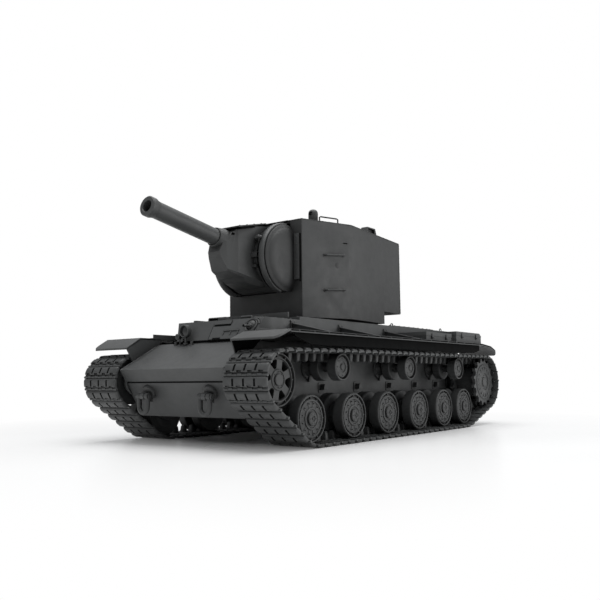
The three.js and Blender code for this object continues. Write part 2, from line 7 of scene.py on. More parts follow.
import json
from math import asin, atan2, ceil, cos, degrees, hypot, pi, radians, sin, tau

import bmesh
import bpy
from mathutils import Matrix, Vector


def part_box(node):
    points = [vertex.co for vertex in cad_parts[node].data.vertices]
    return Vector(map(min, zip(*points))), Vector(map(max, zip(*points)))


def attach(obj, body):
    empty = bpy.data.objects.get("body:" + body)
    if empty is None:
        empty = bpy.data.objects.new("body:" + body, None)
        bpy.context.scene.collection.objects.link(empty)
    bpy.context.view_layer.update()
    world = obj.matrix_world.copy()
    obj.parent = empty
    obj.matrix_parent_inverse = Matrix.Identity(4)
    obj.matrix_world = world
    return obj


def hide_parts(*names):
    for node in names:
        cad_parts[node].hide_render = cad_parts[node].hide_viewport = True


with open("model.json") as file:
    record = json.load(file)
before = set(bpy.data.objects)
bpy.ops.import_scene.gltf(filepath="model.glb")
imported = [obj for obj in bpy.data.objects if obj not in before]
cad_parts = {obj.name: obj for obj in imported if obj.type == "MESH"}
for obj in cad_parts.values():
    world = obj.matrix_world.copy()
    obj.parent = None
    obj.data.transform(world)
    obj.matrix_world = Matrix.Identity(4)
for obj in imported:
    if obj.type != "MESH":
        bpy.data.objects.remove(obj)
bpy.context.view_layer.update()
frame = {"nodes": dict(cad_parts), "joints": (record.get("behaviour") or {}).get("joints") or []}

MM = 0.001
NOSE_TIP_Y = -201.3
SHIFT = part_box("lower_hull")[0].y / MM - NOSE_TIP_Y
TO_FRAME = Matrix.Scale(MM, 4) @ Matrix.Translation((0, SHIFT, 0))
FROM_FRAME = TO_FRAME.inverted()
ANCHORS = {joint["name"]: FROM_FRAME @ Vector(joint["pos_m"]) for joint in frame["joints"]
           if "pos_m" in joint}
SIDES = (("left", 1), ("right", -1))


# ---------------------------------------------------------------- driving dimensions
def axle(name):
    """(y, z) of a spinning part's axis."""
    anchor = ANCHORS[f"{name}_spin"]
    return anchor.y, anchor.z


WALL = 2.5
HULL_HALF = 59.0
INNER_HALF = HULL_HALF - WALL
BELLY_Z = 23.0
SPLIT_Z = 84.0
DECK_Z = 105.5
FRONT_DECK_Z = 102.7
DECK_STEP_Y = -107.5
TRACK_MID = ANCHORS["idler_left_spin"].x
WHEELS = [axle(f"road_wheel_left_{i}") for i in range(1, 7)]
ROLLERS = [axle(f"return_roller_left_{i}") for i in range(1, 4)]
IDLER = axle("idler_left")
SPROCKET = axle("sprocket_left")
WHEEL_R = 18.6
ROLLER_R = 11.3
IDLER_R = 20.0
SPROCKET_R = 26.4
SPROCKET_ROOT = 22.8
TEETH = 16
TURRET_Y = ANCHORS["turret_traverse"].y
TURRET_FLOOR = 107.6
TURRET_ROOF = 196.9
TRUNNION = ANCHORS["gun_elevation"]
GUN_TILT = radians(10)
GUN_RISE = 3.2
MUZZLE = -140.3


# ---------------------------------------------------------------- solids: (points, faces)
PLANES = {"x": (1, 2, 0), "y": (0, 2, 1), "z": (0, 1, 2)}  # where an outline's u and v and the push go
OUT, BACK, UP = (1, 0, 0), (0, 1, 0), (0, 0, 1)


def on_axis(axis, u, v, along):
    """The point at (u, v) of the plane that stands on an axis at a distance along it."""
    point = Vector((0, 0, 0))
    for place, value in zip(PLANES[axis], (u, v, along)):
        point[place] = value
    return point


def stitch(first, second):
    """Faces between two rings of points, given by their numbers; a ring of one point is a tip."""
    count = max(len(first), len(second))
    faces = []
    for i in range(count):
        j = (i + 1) % count
        corners = (first[i % len(first)], first[j % len(first)], second[j % len(second)],
                   second[i % len(second)])
        corners = tuple(dict.fromkeys(corners))
        if len(corners) > 2:
            faces.append(corners)
    return faces


def skin_over(rings):
    """Closed solid through rings of points of equal length."""
    count = len(rings[0])
    points = [point for ring in rings for point in ring]
    numbers = [range(start, start + count) for start in range(0, len(points), count)]
    faces = [tuple(numbers[0]), tuple(numbers[-1])]
    for first, second in zip(numbers, numbers[1:]):
        faces += stitch(first, second)
    return points, faces


def loft(axis, outlines):
    """Closed solid through outlines of equal length, each at its own place along the axis."""
    return skin_over([[on_axis(axis, u, v, along) for u, v in outline] for outline, along in outlines])


def prism(axis, outline, low, high):
    return loft(axis, [(outline, low), (outline, high)])


def block(x, y, z):
    return prism("z", [(x[0], y[0]), (x[1], y[0]), (x[1], y[1]), (x[0], y[1])], *z)


def circle(radius, sides, centre=(0, 0), start=0.0):
    turn = tau / sides
    return [(centre[0] + radius * cos(start + i * turn), centre[1] + radius * sin(start + i * turn))
            for i in range(sides)]


def rounded(half_u, half_v, corner, centre=(0, 0), steps=4):
    """Rectangle outline with round corners."""
    points = []
    for quarter, (su, sv) in enumerate(((1, 1), (-1, 1), (-1, -1), (1, -1))):
        for i in range(steps + 1):
            angle = (quarter + i / steps) * pi / 2
            points.append((centre[0] + su * (half_u - corner) + corner * cos(angle),
                           centre[1] + sv * (half_v - corner) + corner * sin(angle)))
    return points


def lathe(axis, profile, centre=(0, 0), sides=48, base=0.0):
    """Turned solid. The profile lists (radius, distance past base) from axis to axis, or a closed ring."""
    points, rings = [], []
    for radius, along in profile:
        spots = circle(radius, sides if radius > 0 else 1, centre)
        rings.append(range(len(points), len(points) + len(spots)))
        points += [on_axis(axis, u, v, base + along) for u, v in spots]
    pairs = list(zip(rings, rings[1:]))
    if profile[0][0] > 0:
        pairs.append((rings[-1], rings[0]))
    return points, [face for pair in pairs for face in stitch(*pair)]


def bar(axis, radius, low, high, centre, sides=24):
    return lathe(axis, [(0, low), (radius, low), (radius, high), (0, high)], centre, sides)


def tube(path, radius, sides=10):
    """Round wire along a path of points, with flat ends."""
    path = [Vector(point) for point in path]
    rings = []
    across = None
    for i, point in enumerate(path):
        ahead = (path[min(i + 1, len(path) - 1)] - path[max(i - 1, 0)]).normalized()
        across = ahead.orthogonal() if across is None else across - ahead * across.dot(ahead)
        across.normalize()
        beside = ahead.cross(across)
        rings.append([point + across * u + beside * v for u, v in circle(radius, sides)])
    return skin_over(rings)


def moved(solid, matrix):
    points, faces = solid
    return [matrix @ point for point in points], faces


def at(solid, x=0.0, y=0.0, z=0.0):
    return moved(solid, Matrix.Translation((x, y, z)))


def flipped(solids, sign):
    return [moved(solid, Matrix.Diagonal((sign, 1, 1, 1))) for solid in solids]


def around_x(solid, count, start=0.0):
    """Copies of a solid, spaced equally round the X axis."""
    return [moved(solid, Matrix.Rotation(start + i * tau / count, 4, "X")) for i in range(count)]


def together(solids):
    points, faces = [], []
    for more_points, more_faces in solids:
        base = len(points)
        points += more_points
        faces += [tuple(base + i for i in face) for face in more_faces]
    return points, faces


def new_object(name, data):
    thing = bpy.data.objects.new(name, data)
    bpy.context.scene.collection.objects.link(thing)
    return thing


def reworked(mesh, step):
    """A mesh after a bmesh step."""
    work = bmesh.new()
    work.from_mesh(mesh)
    step(work)
    work.to_mesh(mesh)
    work.free()
    return mesh


def outward_mesh(name, solid):
    mesh = bpy.data.meshes.new(name)
    mesh.from_pydata([tuple(point) for point in solid[0]], [], solid[1])
    return reworked(mesh, lambda work: bmesh.ops.recalc_face_normals(work, faces=work.faces))


def merge_flat(work, angle):
    bmesh.ops.dissolve_limit(work, angle_limit=radians(angle), verts=work.verts, edges=work.edges)


def evaluated(solid, add_modifiers):
    """The solid that Blender's modifiers make of a solid."""
    holder = new_object("work", outward_mesh("work", solid))
    add_modifiers(holder)
    graph = bpy.context.evaluated_depsgraph_get()
    graph.update()
    result = bpy.data.meshes.new_from_object(holder.evaluated_get(graph))
    solid = ([vertex.co.copy() for vertex in result.vertices],
             [tuple(face.vertices) for face in result.polygons])
    bpy.data.objects.remove(holder)
    bpy.data.meshes.remove(result)
    return solid


def boolean(operation, solid, *tools):
    for tool in tools:
        cutter = new_object("cutter", outward_mesh("cutter", tool))

        def add(holder, cutter=cutter):
            modifier = holder.modifiers.new("cut", "BOOLEAN")
            modifier.operation = operation
            modifier.solver = "MANIFOLD"
            modifier.object = cutter

        solid = evaluated(solid, add)
        bpy.data.objects.remove(cutter)
    return solid


def cut(solid, *tools):
    return boolean("DIFFERENCE", solid, *tools)


def join(solid, *more):
    return boolean("UNION", solid, *more)


def overlap(solid, *more):
    return boolean("INTERSECT", solid, *more)


def bevelled(solid, width, segments=1):
    def add(holder):
        bevel = holder.modifiers.new("edges", "BEVEL")
        bevel.width = width
        bevel.segments = segments
        bevel.limit_method = "ANGLE"

    return evaluated(solid, add)


# ---------------------------------------------------------------- pieces
SHARP = radians(32)


def piece(name, solids, body="hull", finish="hull", bevel=0.3, segments=2, replaces="", sharp=SHARP):
    """A visible piece: solids in one mesh that rides on a body, in one finish, with rounded edges."""
    if isinstance(solids, tuple):
        solids = [solids]
    mesh = outward_mesh(name, moved(together(solids), TO_FRAME))
    reworked(mesh, lambda work: merge_flat(work, 0.1))
    return dressed(name, mesh, body, finish, bevel, segments, replaces, sharp)


def dressed(name, mesh, body, finish, bevel, segments, replaces, sharp=SHARP):
    """An object of a mesh, with its edges, finish and body."""
    thing = new_object(name, mesh)
    mesh.shade_smooth()
    mesh.set_sharp_from_angle(angle=sharp)
    if bevel:
        edges = thing.modifiers.new("edges", "BEVEL")
        edges.width = bevel * MM
        edges.segments = segments
        edges.limit_method = "ANGLE"
        edges.angle_limit = sharp
        edges.harden_normals = True
    slot, material = FINISHES[finish]
    mesh.materials.clear()
    mesh.materials.append(material)
    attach(thing, body)
    if replaces:
        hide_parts(replaces)
    return thing


def refined(node, body, finish, bevel):
    """A copy of a CAD node's own shape with rounded edges, shown in its place."""
    mesh = frame["nodes"][node].data.copy()

    def clean(work):
        bmesh.ops.remove_doubles(work, verts=work.verts, dist=0.01 * MM)
        merge_flat(work, 1)

    reworked(mesh, clean)
    return dressed(f"{node}_shape", mesh, body, finish, bevel, 2, node)


# ---------------------------------------------------------------- materials
class Nodes:
    """Short forms for building a material's node tree."""

    def __init__(self, name):
        self.material = bpy.data.materials.new(name)
        self.material.use_nodes = True
        self.tree = self.material.node_tree
        self.shader = self.tree.nodes["Principled BSDF"]
        self.place = self.tree.nodes.new("ShaderNodeTexCoord").outputs["Object"]

    def link(self, source, target):
        self.tree.links.new(source, target)

    def noise(self, scale, detail=3.0, roughness=0.55, stretch=None):
        place = self.place
        if stretch:
            mapping = self.tree.nodes.new("ShaderNodeMapping")
            mapping.inputs["Scale"].default_value = stretch
            self.link(place, mapping.inputs["Vector"])
            place = mapping.outputs["Vector"]
        node = self.tree.nodes.new("ShaderNodeTexNoise")
        node.inputs["Scale"].default_value = scale
        node.inputs["Detail"].default_value = detail
        node.inputs["Roughness"].default_value = roughness
        self.link(place, node.inputs["Vector"])
        return node.outputs["Fac"]

    def spread(self, value, low, high, to_low, to_high):
        node = self.tree.nodes.new("ShaderNodeMapRange")
        for name, number in (("From Min", low), ("From Max", high), ("To Min", to_low), ("To Max", to_high)):
            node.inputs[name].default_value = number
        self.link(value, node.inputs["Value"])
        return node.outputs["Result"]

    def mix(self, share, first, second):
        node = self.tree.nodes.new("ShaderNodeMix")
        node.data_type = "RGBA"
        self.link(share, node.inputs["Factor"])
        for value, place in ((first, 6), (second, 7)):
            if isinstance(value, tuple):
                node.inputs[place].default_value = value
            else:
                self.link(value, node.inputs[place])
        return node.outputs[2]

    def bump(self, height, strength, distance, normal=None):
        node = self.tree.nodes.new("ShaderNodeBump")
        node.inputs["Strength"].default_value = strength
        node.inputs["Distance"].default_value = distance
        self.link(height, node.inputs["Height"])
        if normal:
            self.link(normal, node.inputs["Normal"])
        return node.outputs["Normal"]


def grey(value, warmth=0.0):
    """A linear colour, slightly blue at zero warmth."""
    return (value * (0.965 + warmth), value, value * (1.005 - warmth), 1.0)


def worn_and_shaded(nodes, colour, edge, dust_and_shade, reach, open_from):
    """Paler edges, part wear and part painted highlight, and a darker colour, part dust and part painted
    shade, where less than open_from of the view is open within reach (mm).
    """
    geometry = nodes.tree.nodes.new("ShaderNodeNewGeometry")
    # sharp edges turn paler: wear mixed with painted highlight
    rubbed_and_highlit = nodes.spread(geometry.outputs["Pointiness"], 0.51, 0.60, 0.0, 0.55)
    colour = nodes.mix(rubbed_and_highlit, colour, edge)
    openness = nodes.tree.nodes.new("ShaderNodeAmbientOcclusion")
    openness.samples = 6
    openness.inputs["Distance"].default_value = reach * MM
    # where the surface is shut in, the colour darkens: dust mixed with painted shade
    closed = nodes.spread(openness.outputs["AO"], 0.3, open_from, 0.95, 0.0)
    return nodes.mix(closed, colour, dust_and_shade)


def moulded_plastic(name, tone, roughness, mottle=0.16, grain=0.25, shine=0.4, reach=8, open_from=0.96):
    """Unpainted moulded plastic: uneven tone, faint flow marks, fine grain, paler edges from wear and
    painted highlight, and corners darkened by dust and painted shade.
    """
    nodes = Nodes(name)
    cloud = nodes.spread(nodes.noise(38, 5), 0.32, 0.68, 0.0, 1.0)
    body = nodes.mix(cloud, grey(tone * (1 - mottle)), grey(tone * (1 + mottle)))
    flow = nodes.spread(nodes.noise(210, 2, stretch=(0.3, 0.3, 1.6)), 0.35, 0.65, 0.0, 0.35)
    body = nodes.mix(flow, body, grey(tone * 1.18))
    # paler edges (wear and painted highlight), darker where shut in (dust and painted shade)
    body = worn_and_shaded(nodes, body, grey(tone * 1.7), grey(tone * 0.22, 0.02), reach, open_from)
    nodes.link(body, nodes.shader.inputs["Base Color"])
    matt = nodes.spread(nodes.noise(120, 4), 0.3, 0.7, roughness - 0.06, roughness + 0.07)
    nodes.link(matt, nodes.shader.inputs["Roughness"])
    waves = nodes.bump(nodes.noise(160, 2), 0.10, 0.25 * MM)
    fine = nodes.bump(nodes.noise(3200, 2, 0.6), grain, 0.05 * MM, waves)
    nodes.link(fine, nodes.shader.inputs["Normal"])
    nodes.shader.inputs["Specular IOR Level"].default_value = shine
    return nodes.material


def plain_part(name, colour, roughness, metallic=0.0):
    """A simpler finish for the works inside: one colour with mottling, fine scratches and grain."""
    nodes = Nodes(name)
    darker = tuple(value * 0.75 for value in colour[:3]) + (1.0,)
    lighter = tuple(min(1.0, value * 1.2) for value in colour[:3]) + (1.0,)
    cloud = nodes.spread(nodes.noise(140, 5), 0.35, 0.65, 0.0, 1.0)
    nodes.link(nodes.mix(cloud, darker, lighter), nodes.shader.inputs["Base Color"])
    scratch = nodes.noise(900, 3, stretch=(1.0, 0.12, 1.0))
    nodes.link(nodes.spread(scratch, 0.3, 0.7, roughness - 0.08, roughness + 0.1),
               nodes.shader.inputs["Roughness"])
    nodes.link(nodes.bump(scratch, 0.2, 0.05 * MM), nodes.shader.inputs["Normal"])
    nodes.shader.inputs["Metallic"].default_value = metallic
    return nodes.material


FINISHES = {"hull": ("hull_plastic", moulded_plastic("hull_plastic", 0.047, 0.50)),
            # the turret plastic darkens wherever the view is shut in within 60 mm: painted shade, chiefly
            # the shadow under the mask
            "turret": ("turret_plastic", moulded_plastic("turret_plastic", 0.031, 0.52, 0.13, reach=60,
                                                         open_from=1.0)),
            "mask": ("turret_plastic", moulded_plastic("mask_plastic", 0.033, 0.52, 0.13)),
            "gun": ("gun_plastic", moulded_plastic("gun_plastic", 0.045, 0.46, 0.10)),
            "running": ("running_gear_plastic", moulded_plastic("running_gear_plastic", 0.036, 0.50)),
            "track": ("track_plastic", moulded_plastic("track_plastic", 0.040, 0.48, 0.25, 0.35)),
            "sprocket": ("running_gear_plastic", moulded_plastic("sprocket_plastic", 0.047, 0.48)),
            # a darker copy of the running-gear plastic for the wheels' treads: painted shade
            "tread": ("running_gear_plastic", moulded_plastic("tread_shade_plastic", 0.026, 0.55)),
            "cheek": ("turret_plastic", moulded_plastic("cheek_plastic", 0.026, 0.5, 0.10)),
            # near-black matt finish put into gaps, seams, slits and bores: painted shade
            "gap": ("black_plastic", moulded_plastic("gap_shadow", 0.004, 0.9, shine=0.05)),
            "black": ("black_plastic", moulded_plastic("black_plastic", 0.018, 0.42)),
            "lamp": ("lamp_plastic", plain_part("lamp_plastic", (0.012, 0.013, 0.014, 1), 0.22)),
            "battery": ("battery_wrap", plain_part("battery_wrap", (0.02, 0.05, 0.18, 1), 0.35)),
            "board": ("circuit_board", plain_part("circuit_board", (0.012, 0.09, 0.035, 1), 0.4)),
            "steel": ("motor_steel", plain_part("motor_steel", (0.5, 0.5, 0.5, 1), 0.35, 1.0)), }


# ---------------------------------------------------------------- small fittings
def bolt_head(radius, height, sides=6):
    """A hexagonal head standing on the XY plane, with a chamfered top."""
    return lathe("z", [(0, -0.6), (radius, -0.6), (radius, height * 0.65), (radius * 0.7, height),
                       (0, height)], sides=sides)


def rivet(radius, height, sides=12):
    return lathe("z", [(0, -0.5), (radius, -0.5), (radius, height * 0.3), (radius * 0.75, height * 0.8),
                       (0, height)], sides=sides)


def facing(solid, place, normal):
    """A fitting drawn on the XY plane, moved to a place and turned to a surface normal."""
    turn = Vector((0, 0, 1)).rotation_difference(Vector(normal)).to_matrix().to_4x4()
    return moved(solid, Matrix.Translation(place) @ turn)


def row(first, last, count):
    first, last = Vector(first), Vector(last)
    return [first.lerp(last, i / (count - 1)) for i in range(count)]


def spots_round(axis, radius, count, centre, along, start=0.0):
    """Spots spaced equally round a circle about an axis."""
    return [on_axis(axis, u, v, along) for u, v in circle(radius, count, centre, start)]


def studs(fitting, spots, normal=UP):
    return [facing(fitting, spot, normal) for spot in spots]


def staple(x, y, half, foot, top, radius=0.55):
    """A square-cornered wire handle that stands across a lid."""
    path = [(x - half, y, foot), (x - half, y, top), (x + half, y, top), (x + half, y, foot)]
    return tube(path, radius, 8)


def turns(count, whole=tau):
    """Angles from nought to a whole turn, both ends included."""
    return [whole * k / count for k in range(count + 1)]


def outward(foot, head):
    """The outward normal of a front plate that rises from foot to head, both (y, z)."""
    return Vector((0, -(head[1] - foot[1]), head[0] - foot[0])).normalized()


def ball_profile(radius, middle, steps):
    return [(radius * sin(turn), middle - radius * cos(turn)) for turn in turns(steps, pi)]


def weld(path, radius=0.5, pitch=1.1):
    """A weld bead: a thin tube with ripples along its path."""
    bead = []
    for first, last in zip(path, path[1:]):
        first, last = Vector(first), Vector(last)
        steps = max(2, round((last - first).length / pitch))
        bead += [first.lerp(last, i / steps) for i in range(steps)]
    bead.append(Vector(path[-1]))
    points, faces = tube(bead, radius, 6)
    for ring, centre in enumerate(bead):
        size = 1.0 + 0.18 * sin(ring * 2.1) + 0.1 * sin(ring * 0.7)
        for i in range(ring * 6, ring * 6 + 6):
            points[i] = centre + (points[i] - centre) * size
    return points, faces


# ---------------------------------------------------------------- tracks
HINGE_LIFT = 1.65
LINK_PITCH = 10.78
TRACK_HALF = 21.4
BELT = [(*WHEELS[0], WHEEL_R), (*WHEELS[-1], WHEEL_R), (*SPROCKET, SPROCKET_R),
        *[(*roller, ROLLER_R) for roller in reversed(ROLLERS)], (*IDLER, IDLER_R)]
BELT_GAP = 0.3


def leaving_angle(first, second):
    dy, dz = second[0] - first[0], second[1] - first[1]
    return atan2(dz, dy) - pi / 2 + asin((first[2] - second[2]) / hypot(dy, dz))


def belt_path(lift):
    """The closed line round the wheels, lift above their treads; on the ground it runs to the rear."""
    path = []
    for i, (y, z, radius) in enumerate(BELT):
        start = leaving_angle(BELT[i - 1], BELT[i])
        sweep = leaving_angle(BELT[i], BELT[(i + 1) % len(BELT)]) - start
        while sweep < -pi / 4:
            sweep += tau
        steps = max(1, ceil(abs(degrees(sweep)) / 3))
        for k in range(steps + 1):
            angle = start + sweep * k / steps
            spread = radius + BELT_GAP + lift
            path.append(Vector((y + spread * cos(angle), z + spread * sin(angle))))
    return path


def hinge_points():
    path = belt_path(HINGE_LIFT)
    sides = list(zip(path, path[1:] + path[:1]))
    lengths = [(b - a).length for a, b in sides]
    count = round(sum(lengths) / LINK_PITCH)
    step = sum(lengths) / count
    points, side, used = [], 0, 0.0
    for k in range(count):
        while k * step > used + lengths[side]:
            used += lengths[side]
            side += 1
        first, last = sides[side]
        points.append(first.lerp(last, (k * step - used) / lengths[side]))
    return points


def track_shoe():
    """The pad of a link: steep sides, a rounded crown, slots across it and pits along one edge."""
    outlines = ((20.9, 3.95, 0.0, -1.1), (20.9, 3.7, 0.0, 0.1), (20.5, 3.3, 0.2, 0.9), (20.1, 2.7, 0.4, 1.4),
                (19.5, 2.0, 0.6, 1.64))
    rings = [(rounded(half_u, half_v, 1.0, (0, lean), 2), height) for half_u, half_v, lean,
             height in outlines]
    slots = [block((x - 1.0, x + 1.0), (-2.6, 3.0), (0.2, 3)) for x in (-10.4, 0, 10.4)]
    pits = [block((x - 2.2, x + 2.2), (2.5, 5.2), (0.3, 3)) for x in (-15.6, -5.2, 5.2, 15.6)]
    return cut(loft("z", rings), together(slots + pits))


def track_link():
    """One link about its hinge line: x across, y along the track, z outward."""
    half = LINK_PITCH / 2
    horn = loft("z", [(rounded(3.0, 2.5, 0.5, steps=2), -0.9), (rounded(2.9, 2.3, 0.8, steps=2), -3.0),
                      (rounded(2.5, 1.75, 0.8, steps=2), -7.6), (rounded(1.7, 1.0, 0.6, steps=2), -8.5)])
    solids = [track_shoe(), bevelled(horn, 0.22)]
    knuckles, knuckle_r, knuckle_z = 9, 1.15, -1.0
    width = 2 * TRACK_HALF / knuckles
    for i in range(knuckles):
        low = -TRACK_HALF + i * width + 0.2
        end = half if i % 2 == 0 else -half
        solids.append(bar("x", knuckle_r, low, low + width - 0.4, (end, knuckle_z), 8))
        web = [(end * 0.62, -1.5), (end, -1.6), (end, -0.6), (end * 0.62, -0.6)]
        solids.append(prism("x", web, low + 0.2, low + width - 0.6))
    solids.append(bar("x", 1.0, -TRACK_HALF, TRACK_HALF, (half, knuckle_z), 8))
    solids += [block((-7.9, -6.3), (-3.3, 3.3), (-2.0, -0.5)), block((6.3, 7.9), (-3.3, 3.3), (-2.0, -0.5))]
    return together(solids)


def track(side, sign):
    link = track_link()
    hinges = hinge_points()
    links = []
    for first, last in zip(hinges, hinges[1:] + hinges[:1]):
        middle = (first + last) / 2
        ahead = (last - first).normalized()
        place = Matrix(((1, 0, 0, sign * TRACK_MID),
                        (0, ahead.x, ahead.y, middle.x),
                        (0, ahead.y, -ahead.x, middle.y),
                        (0, 0, 0, 1)))
        links.append(moved(link, place))
    name = f"track_links_{side}"
    mesh = outward_mesh(name, moved(together(links), TO_FRAME))
    dressed(name, mesh, "hull", "track", 0, 1, f"track_{side}")


# ---------------------------------------------------------------- wheels, drawn about X, outer face to +X
AXLE_END = HULL_HALF + 2 - TRACK_MID
ROLLER_STUB_R, IDLER_STUB_R = 2.2, 2.9
BORE_PLAY = 0.4
IDLER_WINDOW_TURN = radians(50)


def spun(name, body, sign, centre, solids, bevel, replaces="", finish="running"):
    """Pieces drawn about the origin, put on the side's wheel line."""
    solids = [at(solid, TRACK_MID, *centre) for solid in solids]
    return piece(name, flipped(solids, sign), body, finish, bevel, replaces=replaces)


def tread(radius, low, high, edge, fall):
    """Outline of a tread from low to high whose edges are chamfered by edge along and fall inward."""
    return [(radius - fall, low), (radius, low + edge), (radius, high - edge), (radius - fall, high)]


def ring_disc(bore, rim, sides):
    """A plain disc round a bore, with a tread for its rim."""
    return lathe("x", [(bore, rim[0][1]), *rim, (bore, rim[-1][1])], sides=sides)


def face_bolts(radius, count, x, size, height=0.7, start=0.0, sides=6):
    head = facing(bolt_head(size, height, sides), (x, radius, 0), OUT)
    return around_x(head, count, start)


def road_wheel_solids():
    """Outer and inner disc with the hub between, the dressing of the outer face, and the treads."""
    core = WHEEL_R - 0.25
    face = [(17.2, 14.5), (16.9, 14.2), (16.8, 12.3), (15.4, 12.3), (15.2, 13.6), (14.7, 13.9), (13.4, 13.9),
            (13.2, 13.15), (8.8, 13.3), (8.5, 14.2), (7.2, 14.4), (6.9, 13.7), (6.2, 13.7)]
    disc = lathe("x", [(0, 4.5), *tread(core, 4.5, 14.5, 0.7, 0.45), *face, (0, 13.9)], sides=64)
    back = ring_disc(3.2, tread(core, -14.5, -4.5, 0.7, 0.45), 64)
    back_dish = lathe("x", [(4.0, -15.2), (9.0, -15.2), (12.0, -14.2), (4.0, -14.2)], sides=48)
    hub = bar("x", 11.4, -4.6, 4.6, (0, 0), 48)
    cap = lathe("x", [(0, 13.4), (5.3, 13.4), (5.3, 15.1), (4.7, 15.6), (2.4, 15.8), (2.2, 15.2),
                      (1.0, 15.2), (0.8, 15.9), (0, 15.9)], sides=40)
    ribs = around_x(block((11.8, 13.4), (14.9, 17.0), (-0.5, 0.5)), 12)
    lobe = prism("x", [(8.6, -0.7), (12.6, -1.35), (13.3, -0.7), (13.3, 0.7), (12.6, 1.35), (8.6, 0.7)],
                 12.6, 13.55)
    lobes = around_x(lobe, 12, pi / 12)
    bolts = face_bolts(11.8, 12, 14.0, 0.55, 0.6, pi / 12)
    hub_bolts = face_bolts(3.6, 6, 15.6, 0.42, 0.45)
    treads = [lathe("x", tread(WHEEL_R - 0.1, low, low + 8.6, 0.2, 0.9), sides=64) for low in (-13.8, 5.2)]
    return disc, [back, back_dish, hub], [cap, *ribs, *lobes, *bolts, *hub_bolts], treads


def roller_solids():
    disc = lathe("x", [(0, 4.3), *tread(ROLLER_R, 4.3, 13.4, 0.5, 0.5), (10.0, 13.4), (9.8, 10.4),
                       (8.7, 10.4), (8.4, 12.3), (5.5, 12.9), (4.6, 13.1), (4.4, 12.4), (2.8, 12.4),
                       (2.5, 13.2), (1.9, 13.4), (0, 13.4)], sides=56)
    back = ring_disc(1.5, tread(ROLLER_R, -13, -4.3, 0.5, 0.5), 56)
    hub = bar("x", 4.2, -4.5, 4.5, (0, 0), 24)
    stub = bar("x", ROLLER_STUB_R, AXLE_END, -12.5, (0, 0), 20)
    return [disc, back, hub, stub], face_bolts(6.9, 8, 12.5, 0.5, 0.55)


def idler_solids():
    """Rim, ribbed groove, raised ring and six windows round a bolted hub, with the stub axle behind."""
    disc = lathe("x", [(0, 4.6), *tread(IDLER_R, 4.6, 14.6, 0.6, 0.6), (18.8, 14.6), (18.5, 12.0),
                       (16.7, 12.0), (16.4, 14.2), (15.5, 14.4), (15.2, 13.4), (8.0, 13.7), (7.4, 14.5),
                       (6.6, 14.6), (6.3, 14.0), (0, 14.0)], sides=72)
    half = [(8.4, 1.1), (9.0, 1.7), (13.6, 4.2), (14.6, 3.6), (15.0, 2.2)]
    window = prism("x", [(y, -z) for y, z in half] + half[::-1], 6.0, 16)
    disc = cut(disc, together(around_x(window, 6, IDLER_WINDOW_TURN)))
    back = ring_disc(2.0, tread(IDLER_R, -14.6, -4.6, 0.6, 0.6), 72)
    hub = bar("x", 11, -4.7, 4.7, (0, 0), 40)
    stub = bar("x", IDLER_STUB_R, AXLE_END, -14, (0, 0), 24)
    cap = lathe("x", [(0, 13.8), (4.6, 13.8), (4.6, 14.8), (4.0, 15.3), (0, 15.3)], sides=36)
    ribs = around_x(block((11.8, 13.6), (16.5, 18.7), (-0.4, 0.4)), 12)
    return disc, [back, hub, stub], [cap, *ribs, *face_bolts(5.6, 8, 14.0, 0.5, 0.5)]


def toothed_ring(low, high):
    outline = []
    step = tau / TEETH
    root, tip = SPROCKET_ROOT, SPROCKET_R
    for i in range(TEETH):
        for share, radius in ((-0.34, root), (-0.24, root + 0.5), (-0.13, tip - 0.8), (-0.07, tip),
                              (0.07, tip), (0.13, tip - 0.8), (0.24, root + 0.5), (0.34, root)):
            angle = (i + 0.5 + share) * step
            outline.append((radius * cos(angle), radius * sin(angle)))
    ring = prism("x", outline, low, high)
    return cut(ring, bar("x", 15.5, low - 1, high + 1, (0, 0), 48))


def sprocket_solids():
    rings = [toothed_ring(-14.5, -11), toothed_ring(11.2, 14.7)]
    drum = lathe("x", [(0, -14.3), (16.4, -14.3), (16.4, 12), (19.6, 12.4), (19.6, 15.0), (18.9, 15.5),
                       (17.2, 15.6), (16.6, 14.9), (10.0, 16.0), (9.4, 16.2), (9.0, 15.2), (5.4, 15.0),
                       (5.0, 15.9), (4.2, 16.2), (0, 16.2)], sides=72)
    shaft = bar("x", 3.5, -35.5, -14, (0, 0), 24)
    bolts = face_bolts(18.2, 16, 15.3, 0.6, 0.6) + face_bolts(7.2, 8, 15.0, 0.55, 0.6)
    ribs = around_x(block((14.6, 15.7), (10.4, 16.2), (-0.4, 0.4)), 16, pi / 16)
    return [*rings, drum, shaft], [*bolts, *ribs]


def running_gear(side, sign):
    disc, rest, trim, treads = road_wheel_solids()
    for i, centre in enumerate(WHEELS, 1):
        name = f"road_wheel_{side}_{i}"
        spun(f"{name}_disc", name, sign, centre, [disc], 0.25, name)
        spun(f"{name}_inner", name, sign, centre, rest, 0.25)
        spun(f"{name}_cap", name, sign, centre, trim, 0.12)
        # the tread skins are darker than the discs: painted shade
        spun(f"{name}_treads", name, sign, centre, treads, 0.1, finish="tread")
        swing_arm(side, sign, i, centre)
    discs, trim = roller_solids()
    for i, centre in enumerate(ROLLERS, 1):
        name = f"return_roller_{side}_{i}"
        spun(f"{name}_disc", name, sign, centre, discs, 0.2, name)
        spun(f"{name}_trim", name, sign, centre, trim, 0.1)
    disc, rest, trim = idler_solids()
    name = f"idler_{side}"
    spun(f"{name}_disc", name, sign, IDLER, [disc], 0.25, name)
    spun(f"{name}_inner", name, sign, IDLER, rest, 0.25)
    spun(f"{name}_trim", name, sign, IDLER, trim, 0.12)
    solids, trim = sprocket_solids()
    name = f"sprocket_{side}"
    spun(f"{name}_drum", name, sign, SPROCKET, solids, 0.25, name, "sprocket")
    spun(f"{name}_trim", name, sign, SPROCKET, trim, 0.12, finish="sprocket")


def half_circle(centre, radius, start, steps):
    angles = [start + turn for turn in turns(steps, pi)]
    return [(centre[0] + radius * cos(angle), centre[1] + radius * sin(angle)) for angle in angles]


